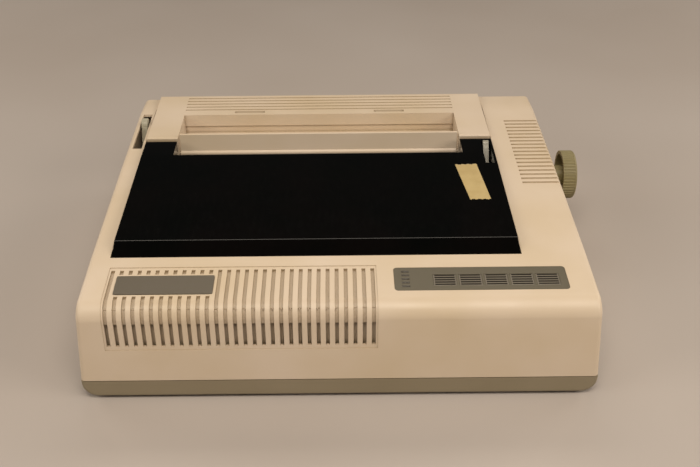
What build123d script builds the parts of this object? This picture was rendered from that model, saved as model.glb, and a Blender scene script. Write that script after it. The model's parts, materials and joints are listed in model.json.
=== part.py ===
from build123d import *
from math import cos, hypot, pi, radians, sin, tan, atan2, degrees
import os

# A desk-top dot matrix printer with a smoked front cover and a hinged rear cover.
# Working frame: X to the operator's right from the casing's middle, Y back from the
# front face, Z up from the desk. Every piece is moved to the object's middle on export.

# --- casing ---------------------------------------------------------------------
HALF_WIDTH = 204.0        # half width at the parting line
DEPTH = 358.0             # front face to rear wall
FOOT_HEIGHT = 2.5
PARTING_Z = 19.0          # top edge of the base tray
DRAFT = 3.7               # lean of the side walls, degrees
WALL = 2.6                # moulded wall
FRONT_RADIUS = 14.5       # round between front face and deck
DECK_FRONT_Z = 89.5       # deck height where the front round ends
DECK_SLOPE = 4.6          # front part of the deck, degrees
SLOPE_END_Y = 66.0        # where the deck flattens
DECK_MID_Y = 209.0
DECK_MID_Z = 100.6
DECK_REAR_Z = 103.6
REAR_DROP_Y = 318.0       # deck falls slightly behind this line
REAR_EDGE_Z = 100.6
EDGE_RADIUS = 4.0         # side and rear upper edges
TRAY_RADIUS = 13.0        # lower side edges of the tray
JOINT_GROOVE = 0.9        # shadow line between tray and case
GAP = 0.3                 # seat between neighbours that don't press on each other
RUN_FIT = 0.05            # radial clearance of pins and shafts

# --- vent grille ----------------------------------------------------------------
VENTS = 30
VENT_PITCH = 7.04
VENT_WIDTH = 3.0
VENT_FIRST_X = -177.6
VENT_DEPTH = 1.7
VENT_BACK_Y = 47.0
VENT_FOOT_Z = 52.0
VENT_OPEN_TOP_Z = 72.0    # the slots break through the front wall below this height
PANEL_MARGIN = 3.2        # recessed panel round the grille
PANEL_DEPTH = 0.5
PLATE_SLOTS = (1, 11)     # first and last slot that the name plate interrupts

# --- plates and keys on the sloping deck -----------------------------------------
NAME_PLATE = (-135.1, 13.9, 76.2, 22.6)      # centre x, up the slope, width, height
CONTROL_PLATE = (110.35, 18.1, 134.3, 28.0)
PLATE_THICK = 1.0
PLATE_RADIUS = 3.0
KEYS = 5
KEY_PITCH = 20.0
KEY_FIRST_X = 82.4
KEY_UP = 16.4
KEY_SIZE = (17.6, 13.4)
KEY_STAND = 1.6           # cap top above the plate
KEY_TRAVEL = 1.4
KEY_GAP = 0.35
KEY_GROOVES = 5
LAMPS = 5
LAMP_X = 52.0
LAMP_PITCH = 4.5
LAMP_SIZE = (6.0, 1.8)

# --- covers ---------------------------------------------------------------------
COVER_MID_X = -18.0
COVER_HALF = 164.0
COVER_GAP = 1.0           # gap between a cover and the opening in the case
LID_FRONT_Y = 64.0
LID_FOOT_Z = 93.4
LID_BEVEL_RUN = 15.5
LID_BEVEL_Z = 99.3
LID_TOP_Z = 104.0
LID_REAR_Y = 222.0
LID_WALL = 2.4
LID_SKIRT = 5.5
NOTCH_HALF = 134.5
LID_PIVOT = (249.2, 99.1)
LID_NOSE = 4.9
LID_PIN = 1.5
REAR_TOP_Z = 105.0
REAR_FRONT_Y = 255.4
REAR_PIVOT = (352.0, 99.0)
REAR_NOSE = 6.0
REAR_PIN = 2.0
TROUGH_BACK_Y = 307.0
TROUGH_FLOOR_Z = 85.0
TROUGH_LIP = (269.0, 79.0)
REAR_WALL_T = 2.4
GUIDE_HALF = 132.8
GUIDE_PIVOT = (257.2, 88.5)
GUIDE_TOP_Z = 108.5
GUIDE_THICK = 2.2
GUIDE_PIN = 1.5
DECK_RIBS = 5
DECK_RIB_PITCH = 7.0
SLOT_X = (-87.5, 52.0)    # two slots in the rear cover's deck
SLOT_SIZE = (30.0, 6.5)
SLOT_Y = 312.6

# --- printing mechanism ----------------------------------------------------------
FRAME_HALF = 133.0        # cover middle to a side frame's inner face
FRAME_MID_X = COVER_MID_X - 0.4
FRAME_T = 1.6
FRAME_FOOT_Z = 22.0
PLATEN = (243.8, 68.0)
PLATEN_RADIUS = 16.0
PLATEN_CORE = 12.0
PLATEN_HALF = 129.0
SHAFT_RADIUS = 4.0
KNOB_X = 213.5
KNOB_LENGTH = 13.0
KNOB_RADIUS = 23.0
KNOB_RIBS = 48
HUB_RADIUS = 9.0
FRONT_ROD = (178.0, 50.0, 5.0)
REAR_ROD = (208.0, 44.0, 4.0)
BELT_Y = 193.0
BELT_Z = 37.5
BELT_WIDTH = 6.0
BELT_T = 1.2
PULLEY_RADIUS = 7.0
PULLEY_X = (-141.0, 104.0)
PAN_Z = 31.0              # top of the mechanism's floor plate
SPOOL_Y = 137.0
SPOOL_X = (-150.0, 113.0)
SPOOL_RADIUS = 25.4
SPOOL_Z = 60.5            # underside of the lower flange
RIBBON_Z = 62.0
RIBBON_WIDTH = 12.7
RIBBON_Y = 226.2
RIBBON_T = 0.5
HEAD_X = FRAME_MID_X - 45.0
CARRIAGE_HALF = 24.0
TRACTOR = (296.4, 58.0)
SUPPORT_ROD = (TRACTOR[0] - 7.0, TRACTOR[1] - 19.0, 2.5)
MODULE = 1.0
PLATEN_TEETH = 36
IDLER_TEETH = 24
TRACTOR_TEETH = 24
PINION_TEETH = 12
GEAR_WIDTH = 4.0
BACKLASH = 0.15
BAIL_PIVOT = (215.0, 58.0)
BAIL_BAR = (227.3, 84.5)
BAIL_BAR_R = 2.5
BAIL_ROLLER_R = 7.0
BAIL_LEVER_X = (137.2, 142.2)
BAIL_LEVER_TOP = (240.0, 108.0)
RELEASE = (273.5, 46.0)
RELEASE_R = 3.0
RELEASE_LEVER_X = (-192.6, -186.6)
RELEASE_TOP = (296.0, 107.0)
PRESS_ROLLER_R = 5.0
BUSH_RADIUS = 7.5
TRACTOR_SHAFT_R = 3.0
MOTOR_SHAFT_R = 2.0
CENTRE_PLAY = 0.1
IDLER_PIN_R = 3.0
FEED_MOTOR_R = 17.0
BAIL_STUD_R = 2.5
PORT_REACH = 6.0           # the port's shell beyond the rear wall
SPINDLE_R = 3.0

BEVEL_Y = LID_FRONT_Y + LID_BEVEL_RUN
LID_LOW_Z = LID_FOOT_Z - LID_SKIRT + 3     # underside of the front cover's skirt
REAR_FLOOR_Z = REAR_PIVOT[1] - REAR_NOSE
FRAME_L = FRAME_MID_X - FRAME_HALF       # inner face of the left frame
FRAME_R = FRAME_MID_X + FRAME_HALF
COVER_L = COVER_MID_X - COVER_HALF
COVER_R = COVER_MID_X + COVER_HALF
PULLEY_Z = (BELT_Z - BELT_WIDTH / 2 - 1.4, BELT_Z + BELT_WIDTH / 2 + 1.4)
MIDDLE_X = (KNOB_X + KNOB_LENGTH - HALF_WIDTH) / 2
MIDDLE_Y = (DEPTH + PORT_REACH) / 2

KEY_SPOTS = [(KEY_FIRST_X + KEY_PITCH * key, KEY_UP) for key in range(KEYS)]

os.makedirs("parts", exist_ok=True)


def hand_over(builder, name):
    """Move a finished piece to the object's own frame and write it."""
    piece = builder.part.moved(Location((-MIDDLE_X, -MIDDLE_Y, 0)))
    piece.label = name
    export_step(piece, f"parts/{name}.step")


def side_x(z):
    """Half width of the case at a height."""
    return HALF_WIDTH - (z - PARTING_Z) * tan(radians(DRAFT))


def deck_z(y):
    """Height of the deck at a distance from the front face."""
    slope_z = DECK_FRONT_Z + (SLOPE_END_Y - FRONT_RADIUS) * tan(radians(DECK_SLOPE))
    knots = [(FRONT_RADIUS, DECK_FRONT_Z), (SLOPE_END_Y, slope_z), (DECK_MID_Y, DECK_MID_Z),
             (REAR_DROP_Y, DECK_REAR_Z), (DEPTH, REAR_EDGE_Z)]
    for (y0, z0), (y1, z1) in zip(knots, knots[1:]):
        if y <= y1:
            return z0 + (z1 - z0) * (y - y0) / (y1 - y0)
    return REAR_EDGE_Z


def deck_plane(lift=0.0):
    """Work plane on the sloping front deck; its y runs up the slope."""
    tilt = radians(DECK_SLOPE)
    normal = Vector(0, -sin(tilt), cos(tilt))
    origin = Vector(0, FRONT_RADIUS, DECK_FRONT_Z) + normal * lift
    return Plane(origin=origin, x_dir=(1, 0, 0), z_dir=normal)


def rod_x(y, z, radius, x0, x1, mode=Mode.ADD):
    """A round bar along X in the part that is being built."""
    with BuildSketch(Plane.YZ.offset(x0)) as ring:
        with Locations((y, z)):
            Circle(radius)
    extrude(ring.sketch, amount=x1 - x0, mode=mode)


def rod_z(x, y, radius, z0, z1, mode=Mode.ADD):
    """An upright round bar in the part that is being built."""
    with BuildSketch(Plane.XY.offset(z0)) as ring:
        with Locations((x, y)):
            Circle(radius)
    extrude(ring.sketch, amount=z1 - z0, mode=mode)


def block(x, y, z, mode=Mode.ADD):
    """A straight block between pairs of limits in the part that is being built."""
    with BuildSketch(Plane.XY.offset(z[0])) as foot:
        with Locations(((x[0] + x[1]) / 2, (y[0] + y[1]) / 2)):
            Rectangle(x[1] - x[0], y[1] - y[0])
    extrude(foot.sketch, amount=z[1] - z[0], mode=mode)


def side_outline(points, x0, x1, mode=Mode.ADD, round_by=0.0):
    """A straight-sided outline in (y, z), pushed from x0 to x1."""
    with BuildSketch(Plane.YZ.offset(x0)) as outline:
        with BuildLine():
            Polyline(*points, close=True)
        make_face()
        if round_by > 0:
            fillet(outline.vertices(), round_by)
    extrude(outline.sketch, amount=x1 - x0, mode=mode)


def gear_outline(teeth, turn=0.0):
    """Straight-flanked teeth with room for running; returns a closed list of points."""
    pitch = MODULE * teeth / 2
    half = pi * MODULE / 4 - BACKLASH
    points = []
    for tooth in range(teeth):
        middle = 360 * tooth / teeth + turn
        for radius, width in ((pitch - 1.2 * MODULE, -1.75 * half), (pitch + 0.9 * MODULE, -0.42 * half),
                              (pitch + 0.9 * MODULE, 0.42 * half), (pitch - 1.2 * MODULE, 1.75 * half)):
            angle = radians(middle) + width / radius
            points.append((radius * cos(angle), radius * sin(angle)))
    return points


def gear_x(y, z, teeth, x0, x1, turn=0.0, mode=Mode.ADD):
    """A spur gear with its axis along X in the part that is being built."""
    with BuildSketch(Plane.YZ.offset(x0)) as wheel:
        with BuildLine():
            Polyline(*[(y + u, z + v) for u, v in gear_outline(teeth, turn)], close=True)
        make_face()
    extrude(wheel.sketch, amount=x1 - x0, mode=mode)


# =================================================================================
# Top case
# =================================================================================
def case_block(inset, foot_z):
    """The case's outer form, or its hollow when inset by the wall."""
    with BuildPart() as form:
        with BuildSketch(Plane.YZ.offset(-HALF_WIDTH)) as side:
            with BuildLine():
                Polyline((FRONT_RADIUS, DECK_FRONT_Z), (SLOPE_END_Y, deck_z(SLOPE_END_Y)),
                         (DECK_MID_Y, DECK_MID_Z), (REAR_DROP_Y, DECK_REAR_Z),
                         (DEPTH, REAR_EDGE_Z), (DEPTH, -WALL), (0, -WALL),
                         (0, DECK_FRONT_Z - FRONT_RADIUS))
                TangentArc((0, DECK_FRONT_Z - FRONT_RADIUS), (FRONT_RADIUS, DECK_FRONT_Z),
                           tangent=(0, 1))
            make_face()
            if inset > 0:
                offset(amount=-inset, kind=Kind.INTERSECTION)
        extrude(amount=2 * HALF_WIDTH)
        with BuildSketch(Plane.XZ) as front:
            with BuildLine():
                Polyline((side_x(0) - inset, 0), (side_x(120) - inset, 120),
                         (inset - side_x(120), 120), (inset - side_x(0), 0), close=True)
            make_face()
        extrude(amount=2 * DEPTH, both=True, mode=Mode.INTERSECT)
        split(bisect_by=Plane.XY.offset(foot_z), keep=Keep.TOP)
    return form.part


LID_OPENING = (COVER_L - COVER_GAP, COVER_R + COVER_GAP)
OPENING_FRONT = LID_FRONT_Y - COVER_GAP
RIM = 2.5                 # flange round the cover opening
RIM_DEPTH = 13.0
BOSS_RADIUS = 5.0
BOSSES = [(x, y) for x in (-188.0, 188.0) for y in (28.0, 330.0)]
SCREW_RADIUS = 1.5
SCREW_LENGTH = 12.0
RIB_GROOVES = 18
RIB_PITCH = 7.0
RIB_WIDTH = 3.2
RIB_FIRST_Y = 172.0
RIB_LEFT_X = 164.4
RIB_DEPTH = 1.1
RIB_SIDE_FALL = 12.0
LEVER_SLOT = ((-194.0, -185.2), (241.0, 313.0))
INLET = (150.0, 40.0)     # centre of the mains inlet in the rear wall (x, z)
INLET_SIZE = (27.0, 19.6)
SWITCH = (112.0, 40.0)
SWITCH_SIZE = (19.0, 13.0)
PORT = (-120.0, 42.0)
PORT_SIZE = (66.0, 17.0)
REAR_SLOT_Z = 92.4        # the rear wall stops here under the rear cover

outer = case_block(0, PARTING_Z)
hollow = case_block(WALL, PARTING_Z)
RING_X = (LID_OPENING[0] - RIM, LID_OPENING[1] + RIM)
RING_Y = (OPENING_FRONT - RIM, DEPTH)
RING_Z = deck_z(DECK_MID_Y) - RIM_DEPTH - 4

# the hollow, less the flange round the cover opening and the screw bosses
with BuildPart() as room:
    add(hollow)
    block(RING_X, RING_Y, (RING_Z, RING_Z + 40), mode=Mode.SUBTRACT)
    with BuildSketch(Plane.XY.offset(PARTING_Z)) as bosses:
        with Locations(*BOSSES):
            Circle(BOSS_RADIUS)
    extrude(bosses.sketch, amount=90, mode=Mode.SUBTRACT)


def skin_band(depth, y_limits, z_limits):
    """Side view of the outer skin between two limits, as deep as given, for grooves."""
    with BuildSketch(Plane.YZ) as band:
        with BuildLine():
            Polyline((FRONT_RADIUS, DECK_FRONT_Z), (SLOPE_END_Y, deck_z(SLOPE_END_Y)),
                     (SLOPE_END_Y, 130), (-20, 130), (-20, 0), (0, 0), (0, DECK_FRONT_Z - FRONT_RADIUS))
            TangentArc((0, DECK_FRONT_Z - FRONT_RADIUS), (FRONT_RADIUS, DECK_FRONT_Z), tangent=(0, 1))
        make_face()
        offset(amount=depth, kind=Kind.INTERSECTION)
        with Locations(((y_limits[0] + y_limits[1]) / 2, (z_limits[0] + z_limits[1]) / 2)):
            Rectangle(y_limits[1] - y_limits[0], z_limits[1] - z_limits[0], mode=Mode.INTERSECT)
    return band.sketch


def vent_x(index):
    return VENT_FIRST_X + VENT_PITCH * index


PLATE_TOP_Y = FRONT_RADIUS + (NAME_PLATE[1] + NAME_PLATE[3] / 2) * cos(radians(DECK_SLOPE))
PLATE_FOOT_Y = FRONT_RADIUS + (NAME_PLATE[1] - NAME_PLATE[3] / 2) * cos(radians(DECK_SLOPE))
vent_skin = skin_band(VENT_DEPTH + PANEL_DEPTH, (-10, VENT_BACK_Y), (VENT_FOOT_Z, 120))
vent_above = skin_band(VENT_DEPTH + PANEL_DEPTH, (PLATE_TOP_Y + 2, VENT_BACK_Y), (VENT_FOOT_Z, 120))
vent_below = skin_band(VENT_DEPTH + PANEL_DEPTH, (-10, PLATE_FOOT_Y - 2), (VENT_FOOT_Z, 120))
panel_skin = skin_band(PANEL_DEPTH, (-10, VENT_BACK_Y + PANEL_MARGIN),
                       (VENT_FOOT_Z - PANEL_MARGIN, 120))

vent_faces = []
for index in range(VENTS):
    broken = PLATE_SLOTS[0] <= index <= PLATE_SLOTS[1]
    for face in (vent_above, vent_below) if broken else (vent_skin,):
        vent_faces += face.moved(Location((vent_x(index) - VENT_WIDTH / 2, 0, 0))).faces()

with BuildPart() as top_case:
    add(outer)
    long_edges = top_case.edges().filter_by(lambda e: e.center().Z > 60 and abs(e.center().X) > 190)
    fillet(long_edges, EDGE_RADIUS)
    rear_edges = top_case.edges().filter_by(Axis.X).filter_by(
        lambda e: e.center().Z > 60 and e.center().Y > DEPTH - 1)
    fillet(rear_edges, EDGE_RADIUS)
    add(room.part, mode=Mode.SUBTRACT)
    block(LID_OPENING, (OPENING_FRONT, DEPTH - WALL), (RING_Z - 5, 120), mode=Mode.SUBTRACT)
    block(LID_OPENING, (DEPTH - 2 * WALL, DEPTH + 1), (REAR_SLOT_Z, 120), mode=Mode.SUBTRACT)

    # recessed grille panel, its slots over the front edge, and the open part of each slot
    extrude(panel_skin.moved(Location((vent_x(0) - PANEL_MARGIN, 0, 0))),
            amount=vent_x(VENTS - 1) - vent_x(0) + 2 * PANEL_MARGIN, dir=(1, 0, 0), mode=Mode.SUBTRACT)
    extrude(vent_faces, amount=VENT_WIDTH, dir=(1, 0, 0), mode=Mode.SUBTRACT)
    with BuildSketch(Plane.XZ) as openings:
        with Locations(((vent_x(0) + vent_x(VENTS - 1)) / 2, (VENT_FOOT_Z + VENT_OPEN_TOP_Z) / 2)):
            with GridLocations(VENT_PITCH, 1, VENTS, 1):
                Rectangle(VENT_WIDTH, VENT_OPEN_TOP_Z - VENT_FOOT_Z)
    extrude(openings.sketch, amount=-WALL - 1, mode=Mode.SUBTRACT)

    # shallow grooves that run over the right-hand edge
    groove_faces = []
    for groove in range(RIB_GROOVES):
        y = RIB_FIRST_Y + RIB_PITCH * groove
        top = deck_z(y) - RIB_DEPTH
        low = top - RIB_SIDE_FALL
        with BuildSketch(Plane.XZ.offset(-y - RIB_WIDTH / 2)) as cut:
            with BuildLine():
                Polyline((RIB_LEFT_X, 120), (RIB_LEFT_X, top), (side_x(top) - RIB_DEPTH, top),
                         (side_x(low) - RIB_DEPTH, low), (HALF_WIDTH + 5, low), (HALF_WIDTH + 5, 120),
                         close=True)
            make_face()
        groove_faces += cut.sketch.faces()
    extrude(groove_faces, amount=RIB_WIDTH, dir=(0, -1, 0), mode=Mode.SUBTRACT)

    # ledges that the covers rest on
    block((COVER_L + 20, COVER_R - 20), (OPENING_FRONT - RIM, LID_FRONT_Y + LID_WALL),
          (RING_Z, LID_LOW_Z - GAP))
    for x0, x1 in ((LID_OPENING[0] - 1, LID_OPENING[0] + 5), (LID_OPENING[1] - 5, LID_OPENING[1] + 1)):
        block((x0, x1), (264, 300), (REAR_FLOOR_Z - GAP - 4, REAR_FLOOR_Z - GAP))

    # platen shaft, release lever, cover pins
    rod_x(*PLATEN, HUB_RADIUS + 1.2, 190, HALF_WIDTH + 5, mode=Mode.SUBTRACT)
    block(*LEVER_SLOT, (60, 120), mode=Mode.SUBTRACT)
    rod_x(*LID_PIVOT, LID_PIN + RUN_FIT, RING_X[0] - 1, RING_X[1] + 1, mode=Mode.SUBTRACT)
    rod_x(*REAR_PIVOT, REAR_PIN + RUN_FIT, RING_X[0] - 1, RING_X[1] + 1, mode=Mode.SUBTRACT)

    # screw pilots up from the tray
    with BuildSketch(Plane.XY.offset(PARTING_Z)) as pilots:
        with Locations(*BOSSES):
            Circle(SCREW_RADIUS)
    extrude(pilots.sketch, amount=SCREW_LENGTH, mode=Mode.SUBTRACT)

    # recesses for the control plate and name plate, and the key wells
    for x, up, wide, high in (NAME_PLATE, CONTROL_PLATE):
        with BuildSketch(deck_plane(-PLATE_THICK)) as seat:
            with Locations((x, up)):
                RectangleRounded(wide + 0.6, high + 0.6, PLATE_RADIUS)
        extrude(seat.sketch, amount=5, mode=Mode.SUBTRACT)
    with BuildSketch(deck_plane(1)) as wells:
        with Locations(*KEY_SPOTS):
            Rectangle(KEY_SIZE[0] + 2 * KEY_GAP, KEY_SIZE[1] + 2 * KEY_GAP)
    extrude(wells.sketch, amount=-10, mode=Mode.SUBTRACT)

    # rear wall: mains inlet, rocker switch, printer port
    for (x, z), (wide, high) in ((INLET, INLET_SIZE), (SWITCH, SWITCH_SIZE), (PORT, PORT_SIZE)):
        block((x - wide / 2, x + wide / 2), (DEPTH - 2 * WALL, DEPTH + 1), (z - high / 2, z + high / 2),
              mode=Mode.SUBTRACT)
hand_over(top_case, "top_case")


# =================================================================================
# Base tray, feet and screws
# =================================================================================
POSTS = [(x, y) for x in (FRAME_L - 9, FRAME_R + 9) for y in (165.0, 300.0)]
POST_RADIUS = 6.0
FEET = [(x, y) for x in (-160.0, 160.0) for y in (32.0, 322.0)]
FOOT_RADIUS = 9.0
SCREW_HEAD = (3.2, 2.4)   # radius and height
BOARD_Z = 11.0
BOARD_POSTS = [(x, y) for x in (-150.0, 60.0) for y in (24.0, 112.0)]

with BuildPart() as base_tray:
    with BuildSketch(Plane.XZ) as front:
        with BuildLine():
            Polyline((-HALF_WIDTH, PARTING_Z), (-HALF_WIDTH, FOOT_HEIGHT), (HALF_WIDTH, FOOT_HEIGHT),
                     (HALF_WIDTH, PARTING_Z), close=True)
        make_face()
        fillet(front.vertices().group_by(Axis.Y)[0], TRAY_RADIUS)
    extrude(front.sketch, amount=-DEPTH)
    fillet(base_tray.edges().filter_by(Axis.X).group_by(Axis.Z)[0], 3.0)
    with BuildSketch(Plane.XZ) as room_front:
        with BuildLine():
            Polyline((WALL - HALF_WIDTH, PARTING_Z + 1), (WALL - HALF_WIDTH, FOOT_HEIGHT + WALL),
                     (HALF_WIDTH - WALL, FOOT_HEIGHT + WALL), (HALF_WIDTH - WALL, PARTING_Z + 1),
                     close=True)
        make_face()
        fillet(room_front.vertices().group_by(Axis.Y)[0], TRAY_RADIUS - WALL)
    extrude(room_front.sketch.moved(Location((0, WALL, 0))), amount=DEPTH - 2 * WALL,
            dir=(0, 1, 0), mode=Mode.SUBTRACT)
    # shadow groove along the joint
    with BuildSketch(Plane.XY.offset(PARTING_Z - JOINT_GROOVE)) as groove:
        with Locations((0, DEPTH / 2)):
            Rectangle(2 * HALF_WIDTH + 2, DEPTH + 2)
            Rectangle(2 * (HALF_WIDTH - JOINT_GROOVE), DEPTH - 2 * JOINT_GROOVE, mode=Mode.SUBTRACT)
    extrude(groove.sketch, amount=2, mode=Mode.SUBTRACT)
    # posts under the mechanism, screw bosses and board stand-offs
    with BuildSketch(Plane.XY.offset(FOOT_HEIGHT + 1)) as posts:
        with Locations(*POSTS):
            Circle(POST_RADIUS)
    extrude(posts.sketch, amount=FRAME_FOOT_Z - FOOT_HEIGHT - 1)
    with BuildSketch(Plane.XY.offset(FOOT_HEIGHT + 1)) as bosses:
        with Locations(*BOSSES):
            Circle(BOSS_RADIUS)
    extrude(bosses.sketch, amount=PARTING_Z - FOOT_HEIGHT - 1)
    with BuildSketch(Plane.XY.offset(FOOT_HEIGHT + 1)) as stand_offs:
        with Locations(*BOARD_POSTS):
            Circle(3.5)
    extrude(stand_offs.sketch, amount=BOARD_Z - FOOT_HEIGHT - 1)
    with BuildSketch(Plane.XY.offset(FOOT_HEIGHT)) as screw_ways:
        with Locations(*BOSSES):
            Circle(SCREW_RADIUS + 0.3)
    extrude(screw_ways.sketch, amount=PARTING_Z, mode=Mode.SUBTRACT)
    with BuildSketch(Plane.XY.offset(FOOT_HEIGHT)) as head_ways:
        with Locations(*BOSSES):
            Circle(SCREW_HEAD[0] + 0.4)
    extrude(head_ways.sketch, amount=SCREW_HEAD[1] + 2, mode=Mode.SUBTRACT)
hand_over(base_tray, "base_tray")

with BuildPart() as rubber_feet:
    with BuildSketch() as pads:
        with Locations(*FEET):
            Circle(FOOT_RADIUS)
    extrude(pads.sketch, amount=FOOT_HEIGHT)
    chamfer(rubber_feet.edges().group_by(Axis.Z)[0], 0.6)
hand_over(rubber_feet, "rubber_feet")

with BuildPart() as case_screws:
    seat = FOOT_HEIGHT + SCREW_HEAD[1] + 2
    with BuildSketch(Plane.XY.offset(seat)) as shanks:
        with Locations(*BOSSES):
            Circle(SCREW_RADIUS)
    extrude(shanks.sketch, amount=PARTING_Z + SCREW_LENGTH - 2 - seat)
    with BuildSketch(Plane.XY.offset(seat - SCREW_HEAD[1])) as heads:
        with Locations(*BOSSES):
            Circle(SCREW_HEAD[0])
    extrude(heads.sketch, amount=SCREW_HEAD[1])
    with BuildSketch(Plane.XY.offset(seat - SCREW_HEAD[1])) as slots:
        with Locations(*BOSSES):
            Rectangle(3.6, 0.9)
            Rectangle(0.9, 3.6)
    extrude(slots.sketch, amount=1.2, mode=Mode.SUBTRACT)
hand_over(case_screws, "case_screws")


# =================================================================================
# Plates, keys and lamps
# =================================================================================
with BuildPart() as name_plate:
    with BuildSketch(deck_plane(GAP - PLATE_THICK)) as plate:
        with Locations(NAME_PLATE[:2]):
            RectangleRounded(NAME_PLATE[2], NAME_PLATE[3], PLATE_RADIUS)
    extrude(plate.sketch, amount=PLATE_THICK - GAP)
hand_over(name_plate, "name_plate")

LAMP_SPOTS = [(LAMP_X, CONTROL_PLATE[1] + LAMP_PITCH * (lamp - (LAMPS - 1) / 2)) for lamp in range(LAMPS)]
with BuildPart() as control_plate:
    with BuildSketch(deck_plane(GAP - PLATE_THICK)) as plate:
        with Locations(CONTROL_PLATE[:2]):
            RectangleRounded(CONTROL_PLATE[2], CONTROL_PLATE[3], PLATE_RADIUS)
        with Locations(*KEY_SPOTS):
            Rectangle(KEY_SIZE[0] + 2 * KEY_GAP, KEY_SIZE[1] + 2 * KEY_GAP, mode=Mode.SUBTRACT)
        with Locations(*LAMP_SPOTS):
            Rectangle(LAMP_SIZE[0] + 0.2, LAMP_SIZE[1] + 0.2, mode=Mode.SUBTRACT)
    extrude(plate.sketch, amount=PLATE_THICK - GAP)
hand_over(control_plate, "control_plate")

with BuildPart() as lamp_bars:
    with BuildSketch(deck_plane(GAP - PLATE_THICK)) as bars:
        with Locations(*LAMP_SPOTS):
            Rectangle(*LAMP_SIZE)
    extrude(bars.sketch, amount=PLATE_THICK - GAP + 0.2)
hand_over(lamp_bars, "lamp_bars")

KEY_FOOT = -8.2           # where the caps end below the deck
KEY_STEM = 3.0
SWITCH_TOP = KEY_FOOT - 3.2
for key, (x, up) in enumerate(KEY_SPOTS):
    with BuildPart() as key_cap:
        with BuildSketch(deck_plane(KEY_FOOT)) as cap:
            with Locations((x, up)):
                Rectangle(*KEY_SIZE)
        extrude(cap.sketch, amount=KEY_STAND - KEY_FOOT)
        fillet(key_cap.faces().sort_by(Axis.Z)[-1].edges(), 0.7)
        with BuildSketch(deck_plane(KEY_STAND - 0.7)) as grooves:
            with Locations((x, up)):
                with GridLocations(1, KEY_SIZE[1] / KEY_GROOVES, 1, KEY_GROOVES):
                    Rectangle(KEY_SIZE[0] - 2.4, 1.1)
        extrude(grooves.sketch, amount=3, mode=Mode.SUBTRACT)
        with BuildSketch(deck_plane(KEY_FOOT)) as stem:
            with Locations((x, up)):
                Circle(KEY_STEM)
        extrude(stem.sketch, amount=SWITCH_TOP + KEY_TRAVEL + GAP - KEY_FOOT)
    hand_over(key_cap, f"key_{key + 1}")

KEY_BOARD = -22.0         # top of the key board below the deck
with BuildPart() as key_board:
    with BuildSketch(deck_plane(KEY_BOARD - 1.6)) as board:
        with Locations((CONTROL_PLATE[0], KEY_UP)):
            Rectangle(CONTROL_PLATE[2], 24)
    extrude(board.sketch, amount=1.6)
    with BuildSketch(deck_plane(KEY_BOARD)) as switches:
        with Locations(*KEY_SPOTS):
            Rectangle(12, 12)
    extrude(switches.sketch, amount=SWITCH_TOP - KEY_BOARD)
    with BuildSketch(deck_plane(KEY_BOARD)) as lights:
        with Locations(*LAMP_SPOTS):
            Rectangle(4, 1.6)
    extrude(lights.sketch, amount=-PLATE_THICK - WALL - KEY_BOARD - 1)
    # posts up to the deck carry the board
    with BuildSketch(deck_plane(KEY_BOARD)) as board_posts:
        with Locations((CONTROL_PLATE[0] - 50, KEY_UP + 9.5), (CONTROL_PLATE[0] + 61, KEY_UP - 9.5)):
            Circle(2.5)
    extrude(board_posts.sketch, amount=-WALL - GAP - PLATE_THICK / 2 - KEY_BOARD)
hand_over(key_board, "key_board")


# =================================================================================
# Covers
# =================================================================================
LEVER_SLOT_LID = (BAIL_LEVER_X[0] - 1.6, BAIL_LEVER_X[1] + 1.4)
LEVER_SLOT_Y = (202.0, LID_PIVOT[0] - LID_NOSE)


LID_SIDE = [(LID_FRONT_Y, LID_LOW_Z), (LID_FRONT_Y, LID_FOOT_Z), (BEVEL_Y, LID_BEVEL_Z),
            (LID_REAR_Y, LID_TOP_Z), (LID_PIVOT[0], LID_TOP_Z), (LID_PIVOT[0], LID_TOP_Z - LID_SKIRT - 3),
            (LID_REAR_Y, LID_TOP_Z - LID_SKIRT - 3), (BEVEL_Y + 20, LID_LOW_Z)]
LID_HOLLOW = [(LID_FRONT_Y + LID_WALL, 70), (LID_FRONT_Y + LID_WALL, LID_FOOT_Z - 0.6 * LID_WALL),
              (BEVEL_Y, LID_BEVEL_Z - LID_WALL), (LID_REAR_Y - LID_WALL, LID_TOP_Z - LID_WALL),
              (LID_REAR_Y - LID_WALL, 70)]
NOTCH_X = (COVER_MID_X - NOTCH_HALF, COVER_MID_X + NOTCH_HALF)
with BuildPart() as front_cover:
    side_outline(LID_SIDE, COVER_L, COVER_R)
    fillet(front_cover.edges().filter_by(Axis.X).filter_by(
        lambda e: abs(e.center().Z - LID_BEVEL_Z) < 0.5), 4.0)
    rod_x(*LID_PIVOT, LID_NOSE, COVER_L, COVER_R)
    block(NOTCH_X, (LID_REAR_Y, 300), (80, 120), mode=Mode.SUBTRACT)
    fillet(front_cover.edges().filter_by(Axis.Z).filter_by(
        lambda e: abs(e.center().Y - LID_FRONT_Y) < 0.5), 2.0)
    side_outline(LID_HOLLOW, COVER_L + LID_WALL, COVER_R - LID_WALL, mode=Mode.SUBTRACT)
    for x in ((COVER_L + LID_WALL, NOTCH_X[0] - LID_WALL), (NOTCH_X[1] + LID_WALL, COVER_R - LID_WALL)):
        block(x, (LID_REAR_Y - LID_WALL - 1, LID_PIVOT[0] - LID_NOSE), (80, LID_TOP_Z - LID_WALL),
              mode=Mode.SUBTRACT)
    block(LEVER_SLOT_LID, LEVER_SLOT_Y, (80, 120), mode=Mode.SUBTRACT)
    # pivot pins that snap into the case's flange
    for x0, x1 in ((COVER_L - COVER_GAP - RIM + GAP, COVER_L), (COVER_R, COVER_R + COVER_GAP + RIM - GAP)):
        rod_x(*LID_PIVOT, LID_PIN, x0, x1)
hand_over(front_cover, "front_cover")

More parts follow.
